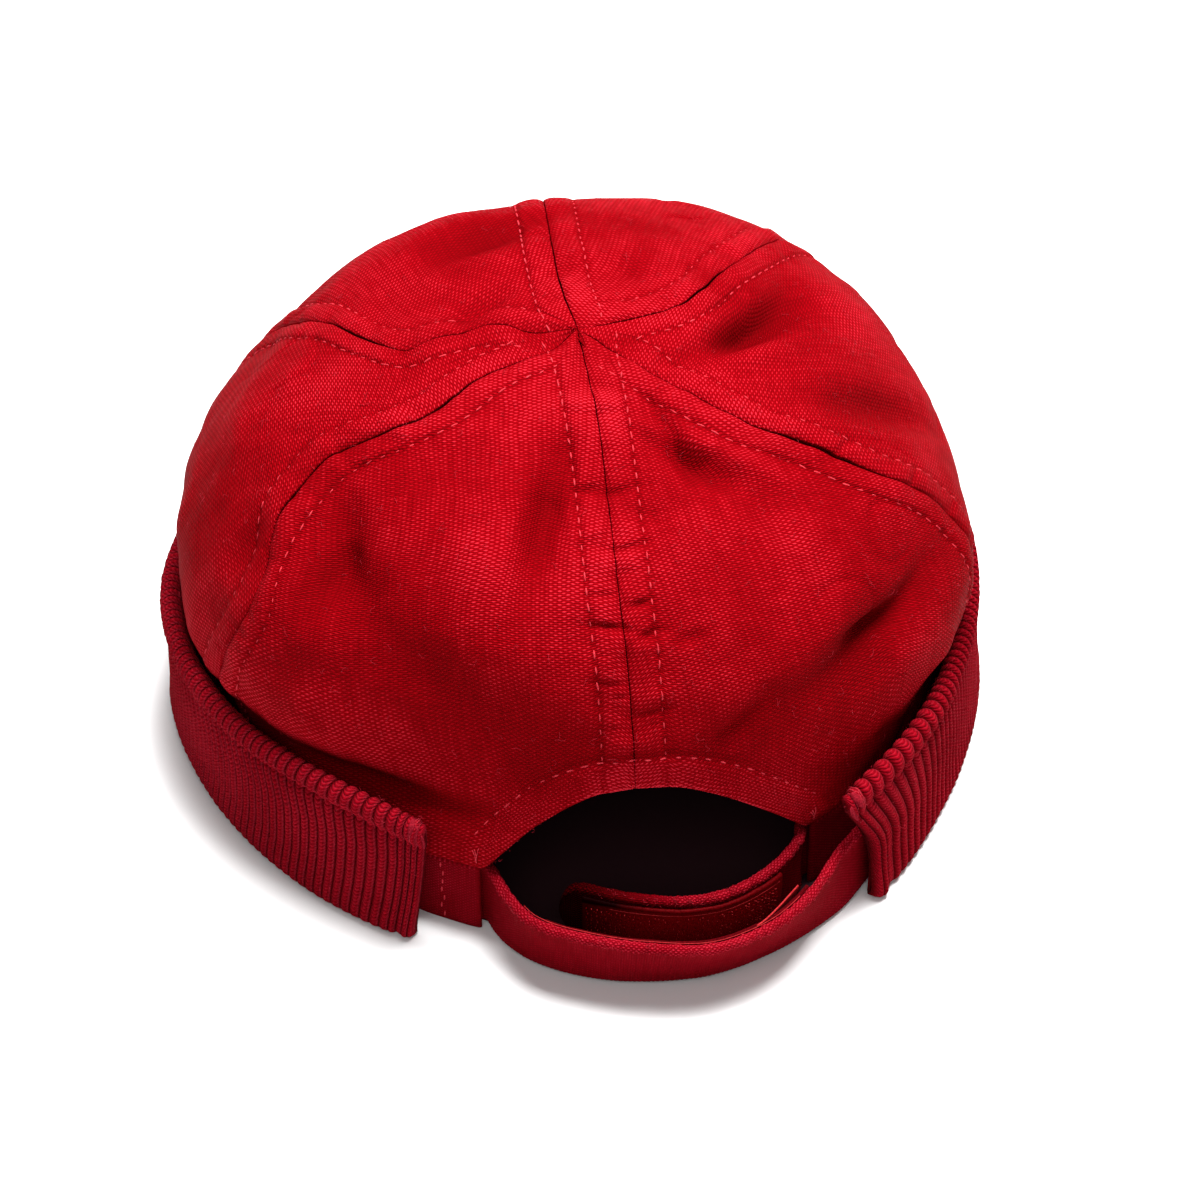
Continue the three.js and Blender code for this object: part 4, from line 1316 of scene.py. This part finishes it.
# low and high: how far the outer face stands off the band at its foot and under the roll;
# inside: the same for the inner face; foot: where the inner face ends, over the strap's tail
low = column(CUFF_PATH, "low", cuff_turn) * CUFF_STANDOFF
high = column(CUFF_PATH, "high", cuff_turn) * CUFF_STANDOFF
top = column(CUFF_PATH, "tall", cuff_turn) * CUFF_HEIGHT
tail = OUTER_STRAP[-1, 0] + 1
over_tail = column(OUTER_STRAP, "low", np.minimum(cuff_turn, tail)) * STRAP_BOW + CUFF_GAP
foot = mix(over_tail, GAP, smooth((cuff_turn - tail) / 5))
inside = np.maximum(low - CUFF_THICKNESS, foot + 0.5)
at_end = 1 - smooth((np.minimum(from_right, from_left) - 3.0) / 9.0)
foot = mix(foot, np.maximum(foot, inside - 0.2), at_end)
crease = table_value(CREASE_TURNS, CREASE_DEPTHS, cuff_turn)
end_roll = 0.6 * bell(from_right - 2.2, 1.8)
end_roll = end_roll - 0.7 * bell(from_right - 5.2, 1.0)
end_roll = end_roll - 0.7 * bell(from_left - 4.2, 0.9)
face_low, face_high = low + end_roll, high + 0.6 * end_roll
# Pairs of stand-off and height: up the outer face, over the roll, and down inside
SECTION = [
    (low - 2.3, 0.02),
    (face_low - 0.5, 0.7),
    (face_low + 0.05, 3.0),
    (mix(face_low, face_high, 0.28) - 0.35, 0.28 * top),
    (mix(face_low, face_high, 0.52) - 0.5, 0.52 * top),
    (mix(face_low, face_high, 0.8) - 0.4 - 0.6 * crease, top - 8.4),
    (face_high - 0.4 - crease, top - 6.0),
    (face_high + 0.25, top - 3.6),
    (high - 0.3, top - 1.1),
    (high - 2.2, top),
    (high - 4.1, top - 1.1),
    (high - 4.7, top - 3.6),
    (mix(inside, high - 4.5, 0.8), top - 8.4),
    (mix(inside, high - 4.5, 0.4), 0.5 * top),
    (inside, 0.24 * top),
    (mix(foot, inside, 0.4), 2.6),
    (foot + 0.5, 0.02),
]
knots = np.stack([together(*pair) for pair in SECTION], axis=1)
CURVE_STEPS, TOP_KNOT, FOOT_KNOT = 3, 9, 16
curve = closed_curve(knots, CURVE_STEPS)
TOP_POINT, FOOT_POINT = TOP_KNOT * CURVE_STEPS, FOOT_KNOT * CURVE_STEPS
ring_size = curve.shape[1]

# %% Ribs and folded ends
tangent = unit(np.roll(curve, -1, axis=1) - np.roll(curve, 1, axis=1))
out_of_section = together(tangent[..., 1], -tangent[..., 0])
ring = np.arange(ring_size)
crest_height = np.abs(np.sin(np.pi * (ribs % 1))) ** 0.6
fade = np.interp(ring, [0, 3, 6, 9, 36, 42, 50], [0.05, 0.25, 0.75, 1, 0.9, 0.6, 0.05])
lumps = 0.09 * noise(ribs[:, None] * 0.9, ring / 2.3, 4.0)
rib_height = (1.05 * crest_height[:, None] - 0.7 + lumps) * fade
curve = curve + out_of_section * rib_height[..., None]
# Near an end, each point closes in on its partner on the section's other side
pair = np.interp(ring, [0, TOP_POINT, FOOT_POINT, ring_size], [FOOT_POINT, TOP_POINT, 0, 0])
pair = np.where(ring > FOOT_POINT, FOOT_POINT + ring_size - ring, pair)
below, beyond = np.floor(pair).astype(int), pair - np.floor(pair)
END_RADIUS = 2.3
end_distance = np.minimum(from_right, from_left)
# An end closes over END_RADIUS like the quarter of a circle
closing = np.sqrt(np.maximum(1 - np.maximum(1 - end_distance / END_RADIUS, 0) ** 2, 0.0004))
partner = mix(curve[:, below % ring_size], curve[:, (below + 1) % ring_size], beyond[:, None])
middle_line = (curve + partner) / 2
curve = middle_line + (curve - middle_line) * closing[:, None, None]
corner_cut = smooth((curve[..., 1] - 24) / 10) - 0.7 * smooth((6 - curve[..., 1]) / 6)
curve[..., 1] = np.maximum(curve[..., 1] - (1 - closing)[:, None] * 1.3 * corner_cut, 0.02)
height_share = curve[..., 1] / CUFF_HEIGHT
# Ribs move sideways by sway, in millimetres: a slow wave round the cuff and a bend near the
# left end, both from the height up the cuff
sway = RIB_SWAY * np.sin(np.radians(3 * cuff_turn))[:, None] * np.sin(np.pi * height_share)
sway = sway * smooth(end_distance / 30)[:, None]
bend_turns = [33, 60, 250, 272, 290, 308, 322, 330]
bend = table_value(bend_turns, [0, 0, 0.5, 2.6, 4.4, 4.2, 1.8, 0.2], cuff_turn)[:, None]
bend_back = 0.35 * smooth((0.45 - height_share) / 0.45)
sway = sway + bend * (smooth((0.94 - height_share) / 0.4) - bend_back)
# Each end leans past its place in the CAD model, more at the top, as on the worn cap
sway = sway + smooth(1 - from_left / 40)[:, None] * (2.0 + 3.0 * height_share)
right_lean = 2.6 + 6.2 * smooth((height_share - 0.42) / 0.5)
sway = sway - smooth(1 - from_right / 30)[:, None] * right_lean
bent_turn = cuff_turn[:, None] + np.degrees(sway / HALF_WIDTH)
rings = around(bent_turn, plan_radius(cuff_turn)[:, None] + curve[..., 0], curve[..., 1])
uv = together(ribs[:, None], run_along(curve, 1))
piece = lofted("rib_cuff_knit", rings, TOP_POINT, uv)
dressed(piece, rib_knit, "rib_knit", "rib_cuff")

# %% Overcast thread at the cuff's ends
# The points of a ring that the thread crosses, from the outer face over the roll
FRONT_RING = np.arange(14, 31)
loops = []
for station, step in ((len(rings) - 1, -1), (0, 1)):
    for k in range(4):
        first = station + step * (5 + 4 * k)
        crossing = first + step * np.round(3 * np.sin(np.linspace(0, 2.0, 17) + k)).astype(int)
        line = rings[crossing, FRONT_RING]
        outward = line - rings[crossing].mean(axis=1)
        loops.append(line + unit(outward) * (0.1 + 0.12 * np.sin(k + np.arange(17) / 3))[:, None])
piece = threads("cuff_end_overcast", np.array(loops)[:, ::-1][:, :12], 0.11)
dressed(piece, lint, "rib_knit")

# %% Knots where the cuff's ends are tied off
stations = np.array([len(rings) - 3, len(rings) - 8, len(rings) - 14, 3, 9])
lobe_places = np.array([22, 24, 26, 22, 25])
middles = rings[stations, lobe_places]
sideways = unit(rings[stations - 1, lobe_places] - rings[stations + 1, lobe_places])
directions = rings[stations, lobe_places + 2] - rings[stations, lobe_places - 2] + 0.8 * sideways
normals = middles - rings[stations].mean(axis=1)
piece = stitches("cuff_knots", middles, directions, normals, 4.2, 0.95, sink=1.1)
dressed(piece, knot_yarn, "rib_knit")

# %% Lint on the cuff
station = pick.integers(0, len(rings), CUFF_LINT)
place = pick.integers(8, 34, CUFF_LINT)
bases = rings[station, place]
bead_radius = plan_radius(cuff_turn[station]) + high[station] - 2.2
normals = unit(bases - around(cuff_turn[station], bead_radius, top[station] - 4))
flat_out = around(cuff_turn[station], 1.0, 0.0)
normals = np.where(bases[:, 2:] < CUFF_HEIGHT - 8, flat_out, normals)
piece = fibres("cuff_lint", bases, normals, 1.1, 0.35, 0.035, 8)
dressed(piece, lint, "rib_knit")

# %% [markdown]
# ## Straps
# A strap is a folded strip of the finer cloth on edge. Its outer face follows a table of
# how far its lower and upper edge stand off the band, resampled to even steps. The section
# is a long oval with a thicker rolled edge on top, where the cloth frays a little.


# %% Strap route and section
def strap_route(rows, count, first=None, last=None):
    """Lower edge, up and outward normal at even steps along a strap's outer face."""
    turn = np.linspace(rows[0, 0], rows[-1, 0], 1200)
    low_out = column(rows, "low", turn) * STRAP_BOW
    high_out = column(rows, "high", turn) * STRAP_BOW
    rise = np.sqrt(STRAP_WIDTH**2 - (high_out - low_out) ** 2)
    low_edge = around(turn, plan_radius(turn) + low_out, STRAP_LIFT)
    high_edge = around(turn, plan_radius(turn) + high_out, STRAP_LIFT + rise)
    middle = (low_edge + high_edge) / 2
    run = run_along(middle)
    start = 0 if first is None else np.interp(first, turn, run)
    end = run[-1] if last is None else np.interp(last, turn, run)
    at = np.linspace(start, end, count)
    up = unit(high_edge - low_edge)
    normal = unit(np.cross(np.gradient(middle, axis=0), up))
    low_edge, up, normal = (points_at(at, run, line) for line in (low_edge, up, normal))
    return low_edge, unit(up), unit(normal), at


def strip(route, heights, distances):
    """Rings of a strip: height above the lower edge and distance from the outer face."""
    low_edge, up, normal, _ = route
    heights = np.broadcast_to(heights, distances.shape)[..., None]
    return low_edge[:, None] + up[:, None] * heights + normal[:, None] * distances[..., None]


def rounded_section(bottom, top, outside, thickness, face_points=14, round_points=6):
    """Heights and distances round a strip with half-round edges, from the bottom outside."""
    half = thickness / 2
    a = np.linspace(0, np.pi, round_points + 2)[1:-1]
    up_face = np.linspace(bottom + half, top - half, face_points)
    heights = np.concatenate([
        up_face,
        top - half + half * np.sin(a),
        up_face[::-1],
        bottom + half - half * np.sin(a),
    ])
    distances = np.concatenate([
        np.full(face_points, outside),
        outside - half + half * np.cos(a),
        np.full(face_points, outside - thickness),
        outside - half - half * np.cos(a),
    ])
    return heights, distances


def end_taper(run, shape):
    """A strap's half-round start: the square root of 1 - (1 - run / 7) squared."""
    share = np.sqrt(np.clip(1 - (1 - np.clip(run / 7, 0, 1)) ** 2, 0.01, 1))
    return np.broadcast_to(share[:, None], shape)


def hollow_shade(run):
    """Painted shade: how much darker the inner strap is toward its start, in the cap's hollow."""
    return 1.9 * (1 - smooth(run / 34))


def strap_piece(name, rows, count, node):
    """A strap with a slightly hollow face, a thicker top edge and a bumpy fold."""
    heights, distances = rounded_section(0, STRAP_WIDTH, 0, STRAP_THICKNESS)
    route = strap_route(rows, count)
    run = route[3]
    outer = distances > -STRAP_THICKNESS / 2
    share = heights / STRAP_WIDTH
    edge_zone = smooth((share - 0.86) / 0.06) + 0.6 * smooth((0.1 - share) / 0.06)
    hollow = -0.3 * np.sin(np.pi * np.clip(share, 0, 1)) * outer
    bumps = 0.16 * np.abs(np.sin(np.pi * run[:, None] / 1.1 + 0.4 * noise(run[:, None] / 5, 0.0)))
    wrinkle = 0.22 * noise(run[:, None] / 7, heights[None, :] / 9, len(name) * 1.0) * outer
    extra = hollow + (bumps * edge_zone) * np.where(outer, 1, -0.3) + wrinkle * (1 - edge_zone)
    lift = 0.25 * bumps / 0.16 + 0.12 * noise(run[:, None] / 2.5, 3.0)
    lift = lift * smooth((share - 0.95) / 0.04)
    rings = strip(route, heights, distances[None, :] + extra) + route[1][:, None] * lift[..., None]
    uv = together(run[:, None], run_along(together(heights, distances))[None, :])
    wear = np.broadcast_to(edge_zone * 0.35 - 0.05, rings.shape[:2])
    if rows is INNER_STRAP:
        drop = (heights - STRAP_WIDTH / 2)[None, :] * (1 - end_taper(run, rings.shape[:2]))
        rings = rings - route[1][:, None] * drop[..., None]
        wear = wear - hollow_shade(run)[:, None]
    piece = lofted(name, rings, 16, uv, wear=wear)
    return dressed(piece, band_canvas, "band_canvas", node)


strap_piece("strap_outer_cloth", OUTER_STRAP, 420, "strap_outer")
strap_piece("strap_inner_cloth", INNER_STRAP, 300, "strap_inner")

# %% [markdown]
# ## Hook and loop tapes
# The loop tape lines the outer strap and the hook tape faces it on the inner strap. Each
# is sewn along its edges with clear line, which shows as a thin bright thread. The hooks
# are a few hundred tiny posts, each with only a few faces.

# %% Build the tapes
# First and last turn of each tape, and how far its outer face stands off the strap's
LOOP_ENDS, HOOK_ENDS = (-13, 21), (-7.5, 18.5)
LOOP_FACE, HOOK_FACE = -STRAP_THICKNESS - GAP, TAPE_THICKNESS + GAP


def tape_piece(name, rows, ends, outside, material, node):
    """A thin strip beside a strap, with small rounded edges."""
    top = STRAP_WIDTH - TAPE_MARGIN
    heights, distances = rounded_section(TAPE_MARGIN, top, outside, TAPE_THICKNESS, 12, 4)
    route = strap_route(rows, 170, *ends)
    run = route[3]
    extra = 0.1 * noise(run[:, None] / 3, heights[None, :] / 3, 2.0)
    rings = strip(route, heights, distances[None, :] + extra)
    # Painted shade: the hook tape darkens toward its start, in the cap's hollow; it is also darker
    # along its two long edges.
    fade = -1.0 * (1 - smooth(run / 24)) if rows is INNER_STRAP else 0 * run
    rim = smooth((np.abs(heights - STRAP_WIDTH / 2) - STRAP_WIDTH / 2 + TAPE_MARGIN + 0.8) / 0.3)
    wear = fade[:, None] - 0.6 * rim[None, :]
    piece = lofted(name, rings, 13, wear=wear)
    return dressed(piece, material, node, node)


tape_piece("loop_tape_pile", OUTER_STRAP, LOOP_ENDS, LOOP_FACE, loop_pile, "loop_tape")
tape_piece("hook_tape_base", INNER_STRAP, HOOK_ENDS, HOOK_FACE, hook_nylon, "hook_tape")


# %% Rolled edges of the straps
def edge_roll(name, rows, count, seed):
    """A lumpy round fold along a strap's top edge: the cloth turned in and worn fuzzy."""
    low_edge, up, normal, run = strap_route(rows, count)
    a = np.linspace(0, 2 * np.pi, 12, endpoint=False)
    lump = 0.12 * np.abs(np.sin(np.pi * run / 1.5 + noise(run / 4, seed)))
    lump = lump + 0.16 * noise(run / 1.1, seed)
    radius = (1.02 + lump)[:, None] * (1 + 0.1 * noise(run[:, None] / 1.0, a * 1.3, seed))
    ends = np.sqrt(np.clip(np.minimum(run, run[-1] - run) / 1.5, 0.01, 1))
    radius = radius * ends[:, None]
    middle = low_edge + up * (STRAP_WIDTH - 0.9) - normal * (STRAP_THICKNESS / 2 - 0.15)
    # dark is painted shade toward the inner strap's start, in the cap's hollow.
    dark = np.zeros(len(run))
    if rows is INNER_STRAP:
        middle = middle - up * (STRAP_WIDTH / 2 - 0.9) * (1 - end_taper(run, (len(run), 1)))
        dark = hollow_shade(run)
    rings = middle[:, None] + normal[:, None] * (radius * 1.15 * np.cos(a))[..., None]
    rings = rings + up[:, None] * (radius * np.sin(a))[..., None]
    uv = together(run[:, None], a[None, :] * 1.1)
    wear = np.broadcast_to((0.24 + 0.3 * lump - dark)[:, None], rings.shape[:2])
    piece = lofted(name, rings, 0, uv, wear=wear)
    dressed(piece, band_canvas, "band_canvas")
    chance = np.random.default_rng(seed)
    near = chance.integers(count // 8, count, STRAP_LINT)
    angle = chance.uniform(-1.9, 1.9, STRAP_LINT)
    out = unit(normal[near] * np.cos(angle)[:, None] + up[near] * np.sin(angle)[:, None])
    piece = fibres(name + "_lint", middle[near] + out * 1.05, out, 0.9, 0.25, 0.035, seed)
    dressed(piece, lint, "band_canvas")


edge_roll("outer_strap_edge", OUTER_STRAP, 520, 31)
edge_roll("inner_strap_edge", INNER_STRAP, 360, 32)


# %% Clear sewing line
def along_strap(rows, ends, count, height, out):
    """A line at a height above a strap's lower edge and a distance out of its outer face."""
    low_edge, up, normal, run = strap_route(rows, count, *ends)
    wave = 0.12 * noise(run / 3, 1.0)[:, None]
    return low_edge + up * (height + wave) + normal * (out + 0.5 * wave)


outer_line = along_strap(OUTER_STRAP, (-16, 19), 240, STRAP_WIDTH - 0.6, LOOP_FACE)
inner_line = along_strap(INNER_STRAP, (-4, 18), 240, STRAP_WIDTH - 3.2, HOOK_FACE + 0.05)
foot_line = along_strap(INNER_STRAP, (-4, 18), 240, 3.0, HOOK_FACE + 0.05)
piece = threads("clear_line", np.stack([outer_line, inner_line, foot_line]), 0.11)
dressed(piece, nylon_line, "hook_tape")


# %% Hooks and loops
def pile_places(rows, ends, outside, pitch, seed):
    """Points over a tape's face on a slightly uneven grid, with the face's direction."""
    low_edge, up, normal, run = strap_route(rows, 400, *ends)
    rng = np.random.default_rng(seed)
    along = np.arange(run[0] + 1.5, run[-1] - 1.5, pitch)
    heights = np.arange(TAPE_MARGIN + 2.2, STRAP_WIDTH - TAPE_MARGIN - 2.2, pitch)
    along, heights = (v.ravel() for v in np.meshgrid(along, heights))
    along = along + rng.normal(0, 0.18, along.shape)
    heights = heights + rng.normal(0, 0.18, heights.shape)
    near = np.interp(along, run, np.arange(400)).astype(int)
    places = low_edge[near] + up[near] * heights[:, None] + normal[near] * outside
    return places, up[near], normal[near]


places, up, normal = pile_places(INNER_STRAP, HOOK_ENDS, HOOK_FACE - 0.05, 1.05, 41)
s = np.linspace(0, 1, 5)[None, :, None]
hook = normal[:, None] * np.sin(2.2 * s) * 0.75 + up[:, None] * (1 - np.cos(2.2 * s)) * 0.32
paths = places[:, None] + hook
# Painted glints: about a third of the hooks take the lighter clear-line colour, so they sparkle.
painted_glint_hooks = np.random.default_rng(42).uniform(size=len(paths)) < 0.3
piece = threads("hooks", paths[~painted_glint_hooks], 0.09)
dressed(piece, hook_nylon, "hook_tape")
piece = threads("hooks_painted_glint", paths[painted_glint_hooks], 0.1)
dressed(piece, nylon_line, "hook_tape")
pile_face = LOOP_FACE - TAPE_THICKNESS + 0.05
places, up, normal = pile_places(OUTER_STRAP, LOOP_ENDS, pile_face, 1.0, 43)
side = np.cross(up, normal)
loop = side[:, None] * 0.55 * np.cos(np.pi * s) - normal[:, None] * 0.45 * np.sin(np.pi * s)
piece = threads("loops", places[:, None] + loop + up[:, None] * 0.3 * s, 0.07)
dressed(piece, loop_pile, "loop_tape")

# %% The tape's lifted end
low_edge, up, normal, run = strap_route(OUTER_STRAP, 60, 12.5, 20.5)
s = np.linspace(0, 1, 60)
leave = STRAP_THICKNESS + 0.7 + 2.4 * smooth(s) + 0.3 * np.sin(5 * s)
spine = low_edge - normal * leave[:, None] + up * (STRAP_WIDTH - 2.4 - 1.5 * s)[:, None]
heights = np.array([-2.4, -1.2, 0.0, 1.2, 1.3, 1.3, 1.2, 0.0, -1.2, -2.4])
outs = np.array([0.16, 0.18, 0.18, 0.2, 0.1, -0.1, -0.2, -0.18, -0.18, -0.16])
rings = spine[:, None] + up[:, None] * heights[:, None] + normal[:, None] * outs[:, None]
piece = lofted("tape_end", rings, 4)
dressed(piece, nylon_line, "loop_tape")

# %% [markdown]
# ## Stage, light and camera
# The cap stands on a pale floor under a large soft light. The camera looks down at it from
# behind, a little from the wearer's left, as in the photograph. There the inside of the
# cap is nearly black: a dark card under the hollow is painted shade that hides the floor.


# %% Floor, shade card and lights
def stage_material(name, colour, specular):
    """A plain matt material for the stage."""
    material = bpy.data.materials.new(name)
    material.use_nodes = True
    shader = material.node_tree.nodes["Principled BSDF"]
    shader.inputs["Base Color"].default_value = colour
    shader.inputs["Roughness"].default_value = 0.9
    shader.inputs["Specular IOR Level"].default_value = specular
    return material


bpy.ops.mesh.primitive_plane_add(size=6, location=(0, 0, 0))
floor = bpy.context.object
floor.name = "floor"
floor.data.materials.append(stage_material("floor", (0.86, 0.86, 0.86, 1), 0.5))

CARD_HEIGHT = 0.2
# The card ends under the band and the cuff, and at the back under the outer strap
card_turn = np.linspace(-180, 180, 361)
under_cuff = smooth((np.abs(card_turn - 2) - 35) / 3)
card_reach = plan_radius(card_turn) + mix(-3.0, 3.0, under_cuff)
strap_low = column(OUTER_STRAP, "low", card_turn) * STRAP_BOW
card_reach += np.where(np.abs(card_turn - 8) < 30, np.maximum(strap_low + 1.6, 0), 0)
rim = around(card_turn, card_reach, CARD_HEIGHT)
card_points = np.concatenate([[[0, 0, CARD_HEIGHT]], rim])
fan = np.arange(1, 361)
card = mesh_piece("shade_card", card_points, np.stack([0 * fan, fan, fan + 1], axis=1))
# Painted shade: the card's dark colour stands in for the deep shade inside the cap.
card.data.materials.append(stage_material("shade_card", (0.028, 0.009, 0.012, 1), 0.1))


def soft_light(name, place, target, size, power):
    """A square area light aimed at a point."""
    lamp = bpy.data.lights.new(name, "AREA")
    lamp.size = size
    lamp.energy = power
    light = bpy.data.objects.new(name, lamp)
    light.location = place
    light.rotation_euler = (Vector(target) - Vector(place)).to_track_quat("-Z", "Y").to_euler()
    bpy.context.scene.collection.objects.link(light)


soft_light("overhead", (0.17, 0.19, 1.1), (0, -0.02, 0.05), 0.6, 37.0)
soft_light("front_fill", (-0.25, -1.0, 1.1), (0, 0, 0.04), 1.0, 6.0)
world = bpy.context.scene.world or bpy.data.worlds.new("studio")
bpy.context.scene.world = world
world.use_nodes = True
background = world.node_tree.nodes["Background"]
background.inputs["Color"].default_value = (1, 1, 1, 1)
background.inputs["Strength"].default_value = 0.19
bpy.context.scene.view_settings.view_transform = "Standard"

# %% Camera
CAMERA_AZIMUTH, CAMERA_ELEVATION, CAMERA_DISTANCE = -8.17, 42.0, 0.9
CAMERA_FOCUS_PIXELS, PHOTO_PIXELS, SENSOR = 3890.0, 1200.0, 36.0
aim = Vector((0.53, -29.14, 45.0)) * MM + Vector(SHIFT * MM)
a, e = math.radians(CAMERA_AZIMUTH), math.radians(CAMERA_ELEVATION)
away = Vector((math.sin(a) * math.cos(e), -math.cos(a) * math.cos(e), math.sin(e)))
lens = bpy.data.cameras.new("camera")
lens.lens = SENSOR * CAMERA_FOCUS_PIXELS / PHOTO_PIXELS
lens.sensor_width = SENSOR
lens.clip_start, lens.clip_end = 0.01, 20
camera = bpy.data.objects.new("camera", lens)
camera.location = aim + away * CAMERA_DISTANCE
camera.rotation_mode = "QUATERNION"
camera.rotation_quaternion = (-away).to_track_quat("-Z", "Y")
bpy.context.scene.collection.objects.link(camera)
bpy.context.scene.camera = camera
